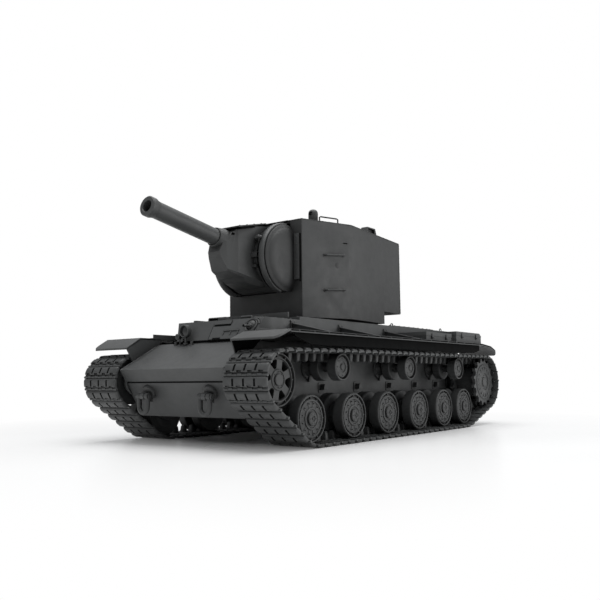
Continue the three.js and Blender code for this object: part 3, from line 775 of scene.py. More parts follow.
def swing_arm(side, sign, i, centre):
    """Trailing arm: a tapered forging with a pivot boss, a pin into the hull and a stub axle."""
    name = f"swing_arm_{side}_{i}"
    near, far = 60.7, 66.9
    pivot = ANCHORS[f"{name}_swing"]
    axle_at, pivot_at = Vector(centre), Vector((pivot.y, pivot.z))
    along = (pivot_at - axle_at).normalized()
    lean = atan2(along.y, along.x)
    outline = half_circle(axle_at, 5, lean + pi / 2, 10) + half_circle(pivot_at, 6.5, lean - pi / 2, 12)
    solids = [prism("x", outline, near, far),
              lathe("x", [(0, -0.2), (4.6, -0.2), (4.2, 1.1), (2.0, 1.4), (0, 1.4)], pivot_at, 28, far),
              bar("x", 3.0, 52, near + 1, pivot_at, 20),
              bar("x", 2.9, far - 1, TRACK_MID + 5.4, axle_at, 20)]
    piece(f"{name}_forging", flipped(solids, sign), name, "running", 0.5, replaces=name)


# ---------------------------------------------------------------- lower hull
NOSE_BOTTOM, NOSE_SEAM = (-177.4, BELLY_Z), (-194.3, 51.1)
NOSE_TIP, NOSE_TOP = (NOSE_TIP_Y, 61.7), (-161.9, 82.4)
TOW = ANCHORS["tow_shackle_left_swing"]
PIN_HOLE = 3.3
SHAFT_HOLE = 3.9
SWITCH_SLOT = ((-2.8, 2.8), (53, 67), (BELLY_Z - 1, BELLY_Z + WALL + 1))


def tub():
    outer = [NOSE_BOTTOM, (165, BELLY_Z), (180, 27), (191, 36), (197, 50), (197, SPLIT_Z), (-158.9, SPLIT_Z),
             NOSE_TOP, NOSE_TIP, NOSE_SEAM]
    room = [(-175.8, 25.5), (164.5, 25.5), (178.5, 29.3), (188.8, 37.5), (194.5, 50.6), (194.5, SPLIT_Z + 1),
            (-155.4, SPLIT_Z + 1), (-157, 82), (-193.5, 62), (-190.8, 52)]
    shell = cut(prism("x", outer, -HULL_HALF, HULL_HALF), prism("x", room, -INNER_HALF, INNER_HALF))
    pivots = [ANCHORS[f"swing_arm_left_{i}_swing"] for i in range(1, 7)]
    holes = [bar("x", PIN_HOLE, INNER_HALF - 1, HULL_HALF + 1, (spot.y, spot.z)) for spot in pivots]
    holes.append(bar("x", SHAFT_HOLE, INNER_HALF - 1, HULL_HALF + 1, SPROCKET))
    groove = prism("x", circle(1.15, 4, (NOSE_SEAM[0] - 0.2, NOSE_SEAM[1])), -HULL_HALF - 1, HULL_HALF + 1)
    shell = cut(shell, together(holes), together(flipped(holes, -1)), groove, block(*SWITCH_SLOT))
    piece("hull_tub", shell, bevel=0.4, replaces="lower_hull")


def nose_dressing():
    """Weld beads down the nose corners, a near-black bar in the seam's groove as painted shade, and the
    bosses and lugs of the tow shackles.
    """
    stretches = (((NOSE_BOTTOM[0] + 1, BELLY_Z + 1), (NOSE_SEAM[0] - 0.1, NOSE_SEAM[1] - 1)),
                 (NOSE_SEAM, NOSE_TIP), (NOSE_TIP, (NOSE_TOP[0] - 1, NOSE_TOP[1] - 0.5)))
    beads = [weld([(HULL_HALF - 0.2, *point) for point in stretch], 0.4) for stretch in stretches]
    piece("nose_welds", beads + flipped(beads, -1), bevel=0)
    seam_half = HULL_HALF - 0.3
    # the seam's groove holds a near-black bar: painted shade
    seam = bar("x", 0.55, -seam_half, seam_half, (NOSE_SEAM[0] + 0.65, NOSE_SEAM[1]), 8)
    piece("nose_seam", seam, finish="gap", bevel=0)
    for side, sign in SIDES:
        pad = lathe("z", [(0, -2), (6.3, -2), (6.3, 2.6), (5.6, 3.9), (4.2, 4.6), (0, 4.8)], sides=40)
        pad = facing(pad, (TOW.x, TOW.y + 8.0, TOW.z + 4.6), outward(NOSE_BOTTOM, NOSE_SEAM))
        ear = [(0, 2.9), (-2.1, 2.0), (-2.9, 0), (-2.1, -2.0), (0, -2.9), (8, -5), (8, 6)]
        lug = prism("x", [(TOW.y + u, TOW.z + v) for u, v in ear], TOW.x - 2.2, TOW.x + 2.2)
        lug = cut(lug, bar("x", 1.9, TOW.x - 3, TOW.x + 3, (TOW.y, TOW.z), 24))
        piece(f"tow_lug_{side}", flipped([pad, lug], sign), bevel=0.35)


def tow_shackle(side, sign):
    """An oval ring on a pin: two eyes, straight legs and a round bow."""
    leg, drop, thick = 4.9, 8.6, 2.0
    eye_in, eye_out = 2.6, 6.6
    bow = [(-leg, 0, -1)]
    bow += [(-leg * cos(a), 0, -drop - leg * sin(a)) for a in turns(14, pi)]
    bow.append((leg, 0, -1))
    eyes = [bar("x", 2.6, low, low + eye_out - eye_in, (0, 0), 24) for low in (-eye_out, eye_in)]
    pin = [bar("x", 1.6, -eye_out - 0.9, eye_out + 0.9, (0, 0), 20),
           bar("x", 2.3, eye_out, eye_out + 1.4, (0, 0), 6)]
    solids = [at(solid, *TOW) for solid in [tube(bow, thick, 14), *eyes, *pin]]
    name = f"tow_shackle_{side}"
    piece(f"tow_shackle_bow_{side}", flipped(solids, sign), name, "running", 0.25, replaces=name)


def side_fittings(side, sign):
    """What stands on the hull's side behind the wheels; the axles turn in bores in the bosses."""
    for i, (y, z) in enumerate(ROLLERS, 1):
        bore = ROLLER_STUB_R + BORE_PLAY
        cone = lathe("x", [(bore, HULL_HALF - 1), (9.5, HULL_HALF - 1), (9.5, 60.2), (7.4, 60.8), (5.2, 65),
                           (bore, 65)], (y, z), 36)
        gusset = prism("x", [(y - 1, z - 4), (y + 1, z - 4), (y + 0.8, z - 12), (y - 0.8, z - 12)],
                       HULL_HALF, 61.4)
        heads = studs(bolt_head(0.8, 0.8), spots_round("x", 8.2, 8, (y, z), 60.2), OUT)
        piece(f"roller_bracket_{side}_{i}", flipped([cone, gusset, *heads], sign), bevel=0.25)
    for i, (y, z) in enumerate(WHEELS, 1):
        stop = prism("x", [(y + 2.2, 43), (y + 3.6, 48), (y + 6.6, 48), (y + 8, 43)], HULL_HALF - 1, 64)
        plate = prism("x", rounded(5, 4.6, 1.5, (y + 5.2, 45)), HULL_HALF - 1, 59.7)
        piece(f"bump_stop_{side}_{i}", flipped([stop, plate], sign))
    y, z = IDLER
    bore = IDLER_STUB_R + BORE_PLAY
    crank = lathe("x", [(bore, 58), (12.5, 58), (12.5, 60), (10.5, 61), (10, 65), (bore, 65)], (y, z), 40)
    axis = (61.2, z - 3)
    screw = [bar("y", 1.7, y + 10, y + 30, axis, 16), bar("y", 2.6, y + 22, y + 26, axis, 6)]
    piece(f"idler_crank_{side}", flipped([crank, *screw], sign), bevel=0.25)
    y, z = SPROCKET
    profile = [(SHAFT_HOLE, 58), (19.5, 58), (19.5, 60.2), (15.5, 61), (15.1, 64.6), (14.5, 65),
               (SHAFT_HOLE, 65)]
    house = lathe("x", profile, (y, z), 56)
    house = cut(house, block((50, 70), (197.2, 230), (0, 90)))
    heads = studs(bolt_head(0.95, 0.9), spots_round("x", 17.6, 16, (y, z), 60.1)[3:14], OUT)
    piece(f"final_drive_{side}", flipped([house, *heads], sign), bevel=0.25)


def belly_and_stern():
    plates, heads = [], []
    for y, half in ((-110, 17), (110, 20), (-10, 14)):
        plates.append(prism("z", rounded(half, half * 0.72, 3, (0, y)), BELLY_Z - 0.7, BELLY_Z + 0.5))
        rim = rounded(half - 2, half * 0.72 - 2, 2, (0, y), 2)
        heads += studs(bolt_head(0.8, 0.6), [(x, v, BELLY_Z - 0.7) for x, v in rim], (0, 0, -1))
    piece("belly_plates", plates + heads, bevel=0.15)
    stern = [prism("y", rounded(52, 13, 3, (0, 66)), 196.5, 197.9)]
    for z in (76, 56):
        stern += studs(bolt_head(0.9, 0.8), row((-48, 197.8, z), (48, 197.8, z), 12), BACK)
    outline = [(196, 72), (203, 73.5), (207.5, 78), (209, 85), (206.5, 92.5), (200, 97)]
    bulge = prism("x", outline, -56.5, 56.5)
    piece("stern_plate", [*stern, bulge], bevel=0.25)
    for side, sign in SIDES:
        lug = cut(prism("x", [(192, 36), (201.5, 38), (203.5, 41), (201.5, 44.5), (195, 47)], 34.5, 38),
                  bar("x", 2.0, 30, 42, (200.2, 41)))
        hook = tube([(36.2, 200.2 + 3.6 * sin(a), 37.2 - 3.8 * cos(a)) for a in turns(20)], 1.0)
        piece(f"stern_tow_lug_{side}", flipped([lug, hook], sign))


# ---------------------------------------------------------------- upper hull
PLATE_FOOT, PLATE_HEAD = (-160.6, SPLIT_Z + 0.3), (-150.3, FRONT_DECK_Z)
HATCH_X, HATCH_Y, HATCH_R = 28.0, -126.0, 13.5
BALL = ANCHORS["hull_machine_gun_swivel"]
BALL_R = 5.2
PLATE_SLOPE = outward(PLATE_FOOT, PLATE_HEAD)


def on_plate(x, z):
    """The point of the driver's plate at a height."""
    share = (z - PLATE_FOOT[1]) / (PLATE_HEAD[1] - PLATE_FOOT[1])
    return Vector((x, PLATE_FOOT[0] + share * (PLATE_HEAD[0] - PLATE_FOOT[0]), z))


ON_BALL = on_plate(BALL.x, BALL.z + 0.6)


def plate_piece(outline, thick, sink=0.6):
    """A plate drawn on the sloping driver's plate by its (x, z) outline."""
    return skin_over([[on_plate(x, z) + PLATE_SLOPE * lift for x, z in outline] for lift in (-sink, thick)])


def upper_shell():
    foot = SPLIT_Z + 0.3
    rebate = [(PLATE_FOOT[0] + 2.6, foot), (PLATE_FOOT[0] + 2.6, foot + 1.5),
              (PLATE_FOOT[0] + 0.84, foot + 1.5)]
    outer = [*rebate, PLATE_HEAD, (DECK_STEP_Y, FRONT_DECK_Z), (DECK_STEP_Y, DECK_Z), (196, DECK_Z),
             (203, 100), (203, 91), (197.3, foot)]
    inner_step = DECK_STEP_Y + WALL
    room = [(-156.8, foot - 1), (194.7, foot - 1), (200.5, 92), (200.5, 98.8), (194.8, 103),
            (inner_step, 103), (inner_step, FRONT_DECK_Z - WALL), (-148.8, FRONT_DECK_Z - WALL)]
    plan = [(47, -170), (HULL_HALF, -143), (HULL_HALF, 210), (-HULL_HALF, 210), (-HULL_HALF, -131),
            (-26, -170.5)]
    inner_plan = [(45, -170), (INNER_HALF, -142.5), (INNER_HALF, 208), (-INNER_HALF, 208),
                  (-INNER_HALF, -130.1), (-22.7, -170.5)]
    shell = overlap(prism("x", outer, -HULL_HALF, HULL_HALF), prism("z", plan, 70, 120))
    hollow = overlap(prism("x", room, -INNER_HALF, INNER_HALF), prism("z", inner_plan, 70, 120))
    shell = cut(shell, hollow,
                bar("z", 46.0, 100, 110, (0, TURRET_Y), 96),
                bar("z", HATCH_R - 2, 98, 110, (HATCH_X, HATCH_Y), 48),
                bar("y", BALL_R + 0.4, -162, -140, (BALL.x, BALL.z), 40),
                block((-43, 43), (72, 156), (100, 110)))
    piece("hull_top_shell", shell, bevel=0.45, replaces="upper_hull")


def plate_foot():
    """A near-black strip as painted shade in the gap below the driver's plate, and the floors of the two
    front corners.
    """
    foot = SPLIT_Z + 0.3
    # near-black strip: painted shade in the gap
    strip = block((-41, 52), (PLATE_FOOT[0] + 1.6, PLATE_FOOT[0] + 2.7), (foot - 0.2, foot + 1.6))
    piece("driver_plate_gap", strip, finish="gap", bevel=0)
    corners = [[(-HULL_HALF, -158.5), (-38, -158.5), (-57, -129), (-HULL_HALF, -129)],
               [(HULL_HALF, -158.5), (45, -158.5), (56, -141), (HULL_HALF, -141)]]
    piece("hull_corner_floor", [prism("z", corner, SPLIT_Z - 1.6, SPLIT_Z - 0.1) for corner in corners],
          bevel=0.2)


def driver_applique():
    applique = plate_piece([(3.0, 85.8), (50, 85.8), (50, 102.0), (4.6, 102.0), (3.0, 97.6)], 0.7)
    socket_hole = facing(bar("z", BALL_R + 0.4, -8, 6, (0, 0), 40), ON_BALL, PLATE_SLOPE)
    piece("driver_applique", cut(applique, socket_hole), bevel=0.2)


def driver_visor():
    """The hood over the visor, the frame of the lower flap, and near-black plates for the slits and the seam
    round them, as painted shade.
    """
    visor = [plate_piece([(4.0, 98.1), (22.8, 98.1), (22.8, 101.4), (4.0, 101.4)], 1.5),
             plate_piece([(16.8, 92.1), (34.2, 92.1), (34.2, 92.9), (16.8, 92.9)], 1.5)]
    visor += [plate_piece([(x, 89), (x + 1.1, 89), (x + 1.1, 92.4), (x, 92.4)], 1.2)
              for x in (17.2, 25, 32.8)]
    piece("driver_visor", visor, bevel=0.15)
    # slits and seam: near-black plates, painted shade
    slits = [plate_piece([(4.0, 96.9), (22.8, 96.9), (22.8, 98.2), (4.0, 98.2)], 0.85),
             plate_piece([(7.3, 85.8), (16, 85.8), (16, 87.0), (7.3, 87.0)], 0.85)]
    seam = plate_piece([(2.0, 86), (3.2, 86), (3.2, 97.5), (4.9, 102.3), (3.7, 102.3), (2.0, 97.6)], 0.3)
    piece("driver_slits", [*slits, seam], finish="gap", bevel=0)


def machine_gun_socket():
    ring = lathe("z", [(4.75, -3), (BALL_R + 1.4, -3), (BALL_R + 1.4, 0.8), (BALL_R + 0.6, 1.2), (4.9, 1.0),
                       (4.6, 0.4)], (0, 0), 48)
    arc = [radians(8 + 164 * k / 20) for k in range(21)]
    hood = tube([on_plate(46 + 7.5 * cos(a), 96.2 + 4.9 * sin(a)) + PLATE_SLOPE * 0.9 for a in arc], 0.6)
    piece("machine_gun_socket", [facing(ring, ON_BALL, PLATE_SLOPE), hood], bevel=0.2)


def machine_gun():
    centre = (BALL.x, BALL.z)
    ball = lathe("y", ball_profile(BALL_R, BALL.y, 16), centre, 36)
    profile = [(0, -11.4), (0.9, -11.4), (0.9, -12.6), (1.3, -12.6), (1.3, -9.6), (1.1, -9.2), (1.1, -6.2),
               (1.9, -5.8), (2.2, -4.5), (0, -4)]
    barrel = lathe("y", profile, centre, 24, BALL.y)
    # near-black disc in the muzzle: painted shade in the bore
    bore = bar("y", 0.95, BALL.y - 12.8, BALL.y - 11.6, centre, 16)
    piece("hull_machine_gun_ball", [ball, barrel], "hull_machine_gun", "hull", 0.15,
          replaces="hull_machine_gun")
    piece("hull_machine_gun_bore", bore, "hull_machine_gun", "gap", 0)


LAMP = (-22.0, -160.0, 94.2)


def headlight():
    x, y, z = LAMP
    profile = [(4.3, -4.6), (4.8, -5.0), (5.6, -4.4), (5.6, -1.0), (4.6, 0.4), (3.0, 0.9), (0, 1.0),
               (0, -2.4), (3.9, -3.0)]
    piece("headlight_shell", lathe("y", profile, (x, z), 48, y), bevel=0.12, replaces="headlight")
    lens = lathe("y", [(0, -3.6), (2.4, -3.5), (4.1, -3.2), (4.1, -2.6), (0, -2.6)], (x, z), 40, y)
    piece("headlight_lens", [lens], "hull", "lamp", 0)
    stalk = [bar("z", 1.1, 82.0, z - 4.6, (x, y - 2), 12), bar("z", 2.2, 83.0, 84.2, (x, y - 2), 6)]
    profile = [(0.9, -5), (2.6, -5), (2.6, -4), (1.4, -3), (1.2, 0), (0, 0), (0, -4)]
    horn = lathe("y", profile, (x - 7.6, 89.6), 28, y)
    posts = [bar("z", 0.9, 81, 90, (x - 7.6, y - 1), 10), bar("z", 1.6, 81, 85.8, (x - 13, y - 1), 12),
             bar("z", 1.3, 81, 85.6, (x + 7.4, y - 2), 12), bar("y", 1.5, y - 4, y, (x - 3, 86.4), 16)]
    piece("headlight_bracket", [*stalk, horn, *posts], bevel=0.1)


def splash_guard():
    """The low wall ahead of the turret, and the bolted collar round its ring."""
    guard = block((-28, 47), (-108.5, -106.7), (FRONT_DECK_Z - 0.5, 110))
    foot = weld([(-28, -108.9, FRONT_DECK_Z), (47, -108.9, FRONT_DECK_Z)], 0.4)
    piece("splash_guard", [guard, foot])
    centre = (0, TURRET_Y)
    collar = lathe("z", [(46, -0.8), (51.5, -0.8), (51.5, 0.5), (50.6, 0.9), (46, 0.9)], centre, 96, DECK_Z)
    heads = studs(bolt_head(0.9, 0.6), spots_round("z", 48.8, 32, centre, DECK_Z + 0.9))
    piece("turret_ring_collar", [collar, *heads], bevel=0.2)


def front_deck():
    """The driver's hatch rim, the periscope box, the sill above the plate and two domed vents."""
    low = FRONT_DECK_Z
    inner, outer = HATCH_R - 2, HATCH_R + 1.6
    rim = lathe("z", [(inner, -0.6), (outer, -0.6), (outer, 0.2), (inner, 0.22)], (HATCH_X, HATCH_Y), 56,
                low)
    rim = cut(rim, block((0, 60), (-150, -139.2), (90, 120)))
    scope = prism("x", [(-140.5, low - 0.5), (-140.5, low + 3.2), (-139, low + 4.1), (-132, low + 2.8),
                        (-130, low - 0.5)], -17, 4)
    scope = cut(bevelled(scope, 0.9, 2), block((-15.4, -5.0), (-150, -137), (low + 0.2, low + 2.9)))
    sill = prism("y", [(-25.5, low - 0.4), (-25.5, low + 1.4), (-22, low + 1.4), (-11.2, low + 0.2),
                       (-11.2, low - 0.4)], -149.3, -147)
    vents = [at(lathe("z", [(0, -0.5), (4.2, -0.5), (4.2, 0.7), (3.2, 1.7), (0, 1.9)], sides=32), x, y, low)
             for x, y in ((-28, -122), (-44, -126))]
    piece("front_deck_fittings", [rim, scope, sill, *vents], bevel=0.2)
    # near-black block in the periscope box's mouth: painted shade
    piece("front_scope_mouth", block((-15.2, -5.2), (-138.6, -137.2), (low + 0.2, low + 2.9)), finish="gap",
          bevel=0)


def deck_bolts():
    low = FRONT_DECK_Z
    spots = []
    for x in (-54, 54):
        spots += row((x, -104, DECK_Z), (x, 190, DECK_Z), 20) + row((x, -134, low), (x, -114, low), 3)
    spots += row((-48, 180, DECK_Z), (48, 180, DECK_Z), 13)
    piece("deck_bolts", studs(bolt_head(1.0, 0.8), spots), bevel=0)
    eye = [(0, 2.2 * cos(a), DECK_Z + 1.2 + 2.2 * sin(a)) for a in turns(18)]
    eyes = [at(tube(eye, 0.55, 8), x, y) for x in (-52, 52) for y in (60, 172)]
    piece("lifting_eyes", eyes, bevel=0)


def driver_hatch():
    hinge = ANCHORS["driver_hatch_hinge"]
    base = FRONT_DECK_Z + 0.3
    centre = (HATCH_X, HATCH_Y)
    lid = lathe("z", [(0, 0), (HATCH_R, 0), (HATCH_R, 1.4), (HATCH_R - 0.8, 2.0), (0, 2.1)], centre, 56,
                base)
    rim = studs(bolt_head(0.7, 0.5), spots_round("z", 11.2, 12, centre, base + 2))
    knuckle = [bar("x", 1.3, HATCH_X - 6, HATCH_X + 6, (hinge.y, hinge.z), 20),
               block((HATCH_X - 4.6, HATCH_X + 4.6), (hinge.y, hinge.y + 4.5), (base + 0.8, base + 2.4))]
    grip = staple(HATCH_X, HATCH_Y + 5, 4, base + 1.8, base + 4)
    piece("driver_hatch_lid", [lid, *rim, *knuckle, grip], "driver_hatch", "hull", 0.2,
          replaces="driver_hatch")


def mesh_panel(x, y, z, pitch=2.4, wire=0.32):
    """Woven wire over an opening: two layers of thin wires in a frame."""
    wires = []
    for i in range(1, round((x[1] - x[0]) / pitch)):
        spot = x[0] + i * pitch
        wires.append(tube([(spot, y[0], z), (spot, y[1], z)], wire, 6))
    for i in range(1, round((y[1] - y[0]) / pitch)):
        spot = y[0] + i * pitch
        wires.append(tube([(x[0], spot, z + wire * 1.4), (x[1], spot, z + wire * 1.4)], wire, 6))
    return wires


PANEL_Z = DECK_Z + 0.3


def engine_deck():
    top = PANEL_Z
    plate = prism("z", rounded(48, 48, 2, (0, 115)), top, top + 1.8)
    wells = [block((low, low + 20), (87, 139), (top + 0.7, top + 3)) for low in (21, -41)]
    plate = cut(plate, *wells)
    piece("engine_deck_plate", plate, bevel=0.3, replaces="engine_deck")


def engine_deck_fittings():
    """The seam, the bolted dome, the rows of bolts, four caps and two handles."""
    top = PANEL_Z
    seam = [block((-0.3, 0.3), (129, 162), (top + 1.7, top + 2.0)),
            block((-0.3, 0.3), (68, 95), (top + 1.7, top + 2.0))]
    profile = [(0, 1.5), (15, 1.5), (15, 2.6), (13.6, 3.2), (9, 4.1), (0, 4.4)]
    dome = lathe("z", profile, (0, 112), 64, top)
    heads = studs(bolt_head(0.8, 0.7), spots_round("z", 13.9, 16, (0, 112), top + 3.0))
    face = top + 1.8
    for y in (70, 160):
        heads += studs(bolt_head(0.9, 0.8), row((-44, y, face), (44, y, face), 11))
    for x in (-45, 45):
        heads += studs(bolt_head(0.9, 0.8), row((x, 78, face), (x, 152, face), 8))
    caps = [at(lathe("z", [(0, 0), (3.4, 0), (3.4, 0.9), (2.9, 1.4), (0, 1.5)], sides=32), x, y, top + 1.7)
            for x, y in ((-10, 78), (10, 78), (-10, 150), (10, 150))]
    handle = [staple(x, 132, 4, top + 1.6, top + 3.6, 0.5) for x in (-11, 11)]
    piece("engine_deck_fittings", [*seam, dome, *heads, *caps, *handle], bevel=0.12)


def grilles():
    """Two framed meshes in the engine deck and one across the stern."""
    top = PANEL_Z
    frames, wires = [], []
    for low in (20, -42):
        rim = cut(prism("z", rounded(11, 27, 1.5, (low + 11, 113)), top + 1.4, top + 2.8),
                  prism("z", rounded(9.4, 25.4, 1, (low + 11, 113)), top + 1, top + 4))
        frames.append(rim)
        wires += mesh_panel((low + 1.6, low + 20.4), (87.6, 138.4), top + 2.2)
    piece("grille_frames", frames, bevel=0.2)
    piece("grille_mesh", wires, "hull", "track", 0)
    rear = cut(prism("z", rounded(40, 5.5, 1, (0, 189)), DECK_Z - 0.4, DECK_Z + 1.1),
               prism("z", rounded(38.4, 4, 0.6, (0, 189)), DECK_Z + 0.2, DECK_Z + 2))
    piece("stern_grille_frame", rear, bevel=0.15)
    piece("stern_grille_mesh", mesh_panel((-38, 38), (185.2, 192.8), DECK_Z + 0.7, 2.0), "hull", "track", 0)


# ---------------------------------------------------------------- fenders
FENDER_ROOT, FENDER_EDGE, FENDER_TOP = HULL_HALF + 0.3, 104.5, 89.5
FENDER_THICK = 1.5
FENDER_TIP = {"left": 83.2, "right": 80.5}


def fender(side, sign):
    root, edge, top, tip = FENDER_ROOT, FENDER_EDGE, FENDER_TOP, FENDER_TIP[side]
    over = [(-195, tip), (-179.5, top), (168, top), (192, 87.4), (204, 83.4), (210.5, 78.6)]
    under = [(y + (0.6 if y < 0 else -0.6), z - FENDER_THICK) for y, z in over]
    sheet = prism("x", over + under[::-1], root, edge)
    plan = rounded((edge - root) / 2 + 4, 203.2, 7, ((edge + root) / 2 - 4, 7.5), 6)
    sheet = overlap(sheet, prism("z", plan, 60, 100))
    lip = prism("x", [(-178.5, top - 0.2), (168, top - 0.2), (192, 87.1), (203, 83.4), (203, 81.8),
                      (192, 85.4), (168, 87.3), (-177.5, 87.3)], edge - 1.4, edge)
    guard = prism("x", [(-194.6, tip - 0.9), (-179, 89), (-156, 89), (-156, 86), (-174, 72.6),
                        (-188.4, 69.2)], root, root + 0.9)
    bead = tube([(root + 1, -194.4, tip - 0.4), (edge - 6.5, -194.4, tip - 0.4)], 0.75, 10)
    piece(f"fender_sheet_{side}", flipped([sheet, lip, guard, bead], sign), bevel=0.4,
          replaces=f"fender_{side}")
    # near-black sheets as painted shade: one on the guard's outer face, one hanging under the fender's edge
    # down to the track
    shade = prism("x", [(-193.6, tip - 1.6), (-179, 87.6), (-157, 87.6), (-157, 86.4), (-174.2, 73),
                        (-188, 69.8)], root + 0.8, root + 1.1)
    under_fender_shadow = prism("x", [(-172, 88), (165, 88), (165, 82), (150, 78.8), (132, 78.8), (126, 77.9),
                            (76, 77.9), (70, 78.8), (-150, 78.8), (-170, 84.6)], edge - 3.2, edge - 2.4)
    piece(f"fender_guard_shade_{side}", flipped([shade, under_fender_shadow], sign), finish="gap", bevel=0)


def fender_braces(side, sign):
    """Triangular braces, the root rail, and the bolts and rivets of the fender."""
    root, edge, top = FENDER_ROOT, FENDER_EDGE, FENDER_TOP
    braces, heads = [], []
    for y in (-118, -47, 33):
        braces.append(prism("y", [(root, top - 0.5), (edge - 6, top - 0.5), (edge - 6, top + 0.8),
                                  (root, 99.5)], y - 0.45, y + 0.45))
        braces.append(prism("y", [(root, 98.6), (edge - 6, top + 0.2), (edge - 6, top + 0.9), (root, 99.6)],
                            y - 2.0, y + 0.45))
        braces.append(block((root, root + 0.8), (y - 3, y + 3), (top, 101.5)))
        spots = [(root + 0.8, y + shift, z) for shift in (-2.2, 2.2) for z in (92, 100.3)]
        heads += studs(bolt_head(0.6, 0.5), spots, OUT)
    rail = prism("y", [(root, top - 0.3), (root + 5, top - 0.3), (root + 5, top + 0.5),
                       (root + 0.8, top + 0.5), (root + 0.8, 93), (root, 93)], -165, 196)
    x, z = root + 3.2, top + 0.5
    heads += studs(bolt_head(0.7, 0.6), row((x, -160, z), (x, 190, z), 26))
    heads += studs(rivet(0.55, 0.5), row((edge, -168, 88.4), (edge, 160, 88.4), 18), OUT)
    piece(f"fender_braces_{side}", flipped([*braces, rail], sign), bevel=0.2)
    piece(f"fender_bolts_{side}", flipped(heads, sign), bevel=0)


def tool_box(name, sign, x, y, top, chamfer=0.0):
    """A sheet-metal box with an overlapping lid, hinges and two clasps."""
    foot = FENDER_TOP - 0.4
    seam = top - 3.6
    body = prism("x", [(y[0], foot), (y[1], foot), (y[1], seam), (y[0], seam)], x[0] + 0.4, x[1] - 0.4)
    drop = max(chamfer, 0.01)
    lid = prism("x", [(y[0] - 0.3, seam - 0.3), (y[1] + 0.3, seam - 0.3), (y[1] + 0.3, top - drop),
                      (y[1] - drop * 1.4, top), (y[0] - 0.3, top)], *x)
    ribs = [block((x[0] + 3, x[1] - 3), (y[0] + (y[1] - y[0]) * share - 1.2,
                                         y[0] + (y[1] - y[0]) * share + 1.2), (top - 0.4, top + 0.45))
            for share in (0.25, 0.7)]
    clasps, grips = [], []
    for share in (0.22, 0.78):
        mid = y[0] + (y[1] - y[0]) * share
        clasps.append(prism("x", rounded(1.5, 2.8, 0.6, (mid, seam - 0.5), 2), x[1] - 0.6, x[1] + 0.9))
        grips.append(tube([(x[1] + 0.8, mid - 1, seam - 1.5), (x[1] + 1.6, mid, seam - 2.6),
                           (x[1] + 0.8, mid + 1, seam - 1.5)], 0.3, 6))
        clasps.append(bar("y", 0.9, mid - 3.5, mid + 3.5, (x[0] + 0.3, top - 0.8), 12))
    piece(name, flipped([body, lid, *ribs, *clasps, *grips], sign))


# ---------------------------------------------------------------- turret
FRONT_Y = -82.7
FRONT_CORNER, SIDE_CORNER, STERN_CORNER = WALL_CORNERS = ((43.4, FRONT_Y), (61.8, -29.3), (48.0, 86.1))
BUSTLE_Y, BUSTLE_Z = 44.0, 120.3
TOP_HATCH = (-14.0, 34.0)
TOP_HATCH_R = 16.5
MASK_HALF = 29.9
MASK_OPENING_FOOT = 131.3
DRUM_R = 29.5


def turret_plan(inset=0.0):
    half = [(FRONT_CORNER[0] - inset * 0.75, FRONT_Y + inset),
            (SIDE_CORNER[0] - inset, SIDE_CORNER[1] + inset * 0.1),
            (STERN_CORNER[0] - inset, STERN_CORNER[1] - inset)]
    return half + [(-x, y) for x, y in reversed(half)]


WALL_ALONG = Vector(SIDE_CORNER) - Vector(FRONT_CORNER)
WALL_NORMAL = Vector((WALL_ALONG.y, -WALL_ALONG.x, 0)).normalized()


def wall_point(share, z):
    """A point on the front stretch of the left wall."""
    spot = Vector(FRONT_CORNER).lerp(Vector(SIDE_CORNER), share)
    return Vector((spot.x, spot.y, z))


def turret_walls():
    below = block((-100, 100), (BUSTLE_Y, 200), (0, BUSTLE_Z))
    shell = cut(prism("z", turret_plan(), TURRET_FLOOR, TURRET_ROOF), below)
    room = cut(prism("z", turret_plan(WALL), TURRET_FLOOR - 1, TURRET_ROOF - WALL),
               block((-100, 100), (BUSTLE_Y - WALL, 200), (0, BUSTLE_Z + WALL)))
    ports = [bar("y", 1.6, 80, 90, (x, 156), 20) for x in (-34, 34)]
    turn = WALL_NORMAL.to_track_quat("Z", "Y").to_matrix().to_4x4()
    place = Matrix.Translation(wall_point(0.87, 178.5)) @ turn
    slits = [moved(block((-2.6, 2.6), (-0.55, 0.55), (-6, 6)), place)]
    slits += flipped(slits, -1)
    shell = cut(shell, room,
                block((-MASK_HALF - 0.6, MASK_HALF + 0.6), (FRONT_Y - 1, FRONT_Y + WALL + 1),
                      (MASK_OPENING_FOOT, TURRET_ROOF - WALL - 0.1)),
                bar("z", TOP_HATCH_R - 1.5, TURRET_ROOF - 4, TURRET_ROOF + 1, TOP_HATCH, 64),
                block((-17, 17), (STERN_CORNER[1] - WALL - 2, 90), (134, 178)),
                together(ports), together(slits))
    piece("turret_walls", shell, "turret", "turret", 0.45, replaces="turret_shell")


def cheeks():
    y, z = TRUNNION.y, TRUNNION.z
    out = 35.5
    dome = [(0, 30.6), (30.5, 30.6), (30.5, 31.0), (29.9, 31.5), (28.0, 31.9), (27.0, 32.6), (25.0, 33.7),
            (21.5, 34.6), (15, 35.2), (7, 35.45), (0, out)]
    cheek = lathe("x", dome, (y, z), 96)
    cheek = cut(cheek, block((0, 60), (FRONT_Y + 1, 0), (60, 260)), bar("x", 4.4, 25, 33.4, (y, z), 32))
    for side, sign in SIDES:
        piece(f"cheek_{side}", flipped([cheek], sign), "turret", "cheek", 0.2)
        strip = block((35.7, 41.0), (FRONT_Y - 1.8, FRONT_Y + 0.4), (141.8, 183.5))
        # groove and dot: near-black painted shadow beside the strip and at its foot
        groove = block((41.0, 42.4), (FRONT_Y - 0.12, FRONT_Y + 0.4), (141.8, 183.5))
        dot = bar("y", 1.1, FRONT_Y - 0.2, FRONT_Y, (41.6, 140.6), 20)
        spots = row((38.4, FRONT_Y - 1.8, 144.4), (38.4, FRONT_Y - 1.8, 181), 6)
        heads = studs(rivet(0.55, 0.4), spots, (0, -1, 0))
        piece(f"front_strip_{side}", flipped([strip, *heads], sign), "turret", "gun", 0.3)
        piece(f"front_strip_shadow_{side}", flipped([groove, dot], sign), "turret", "gap", 0)


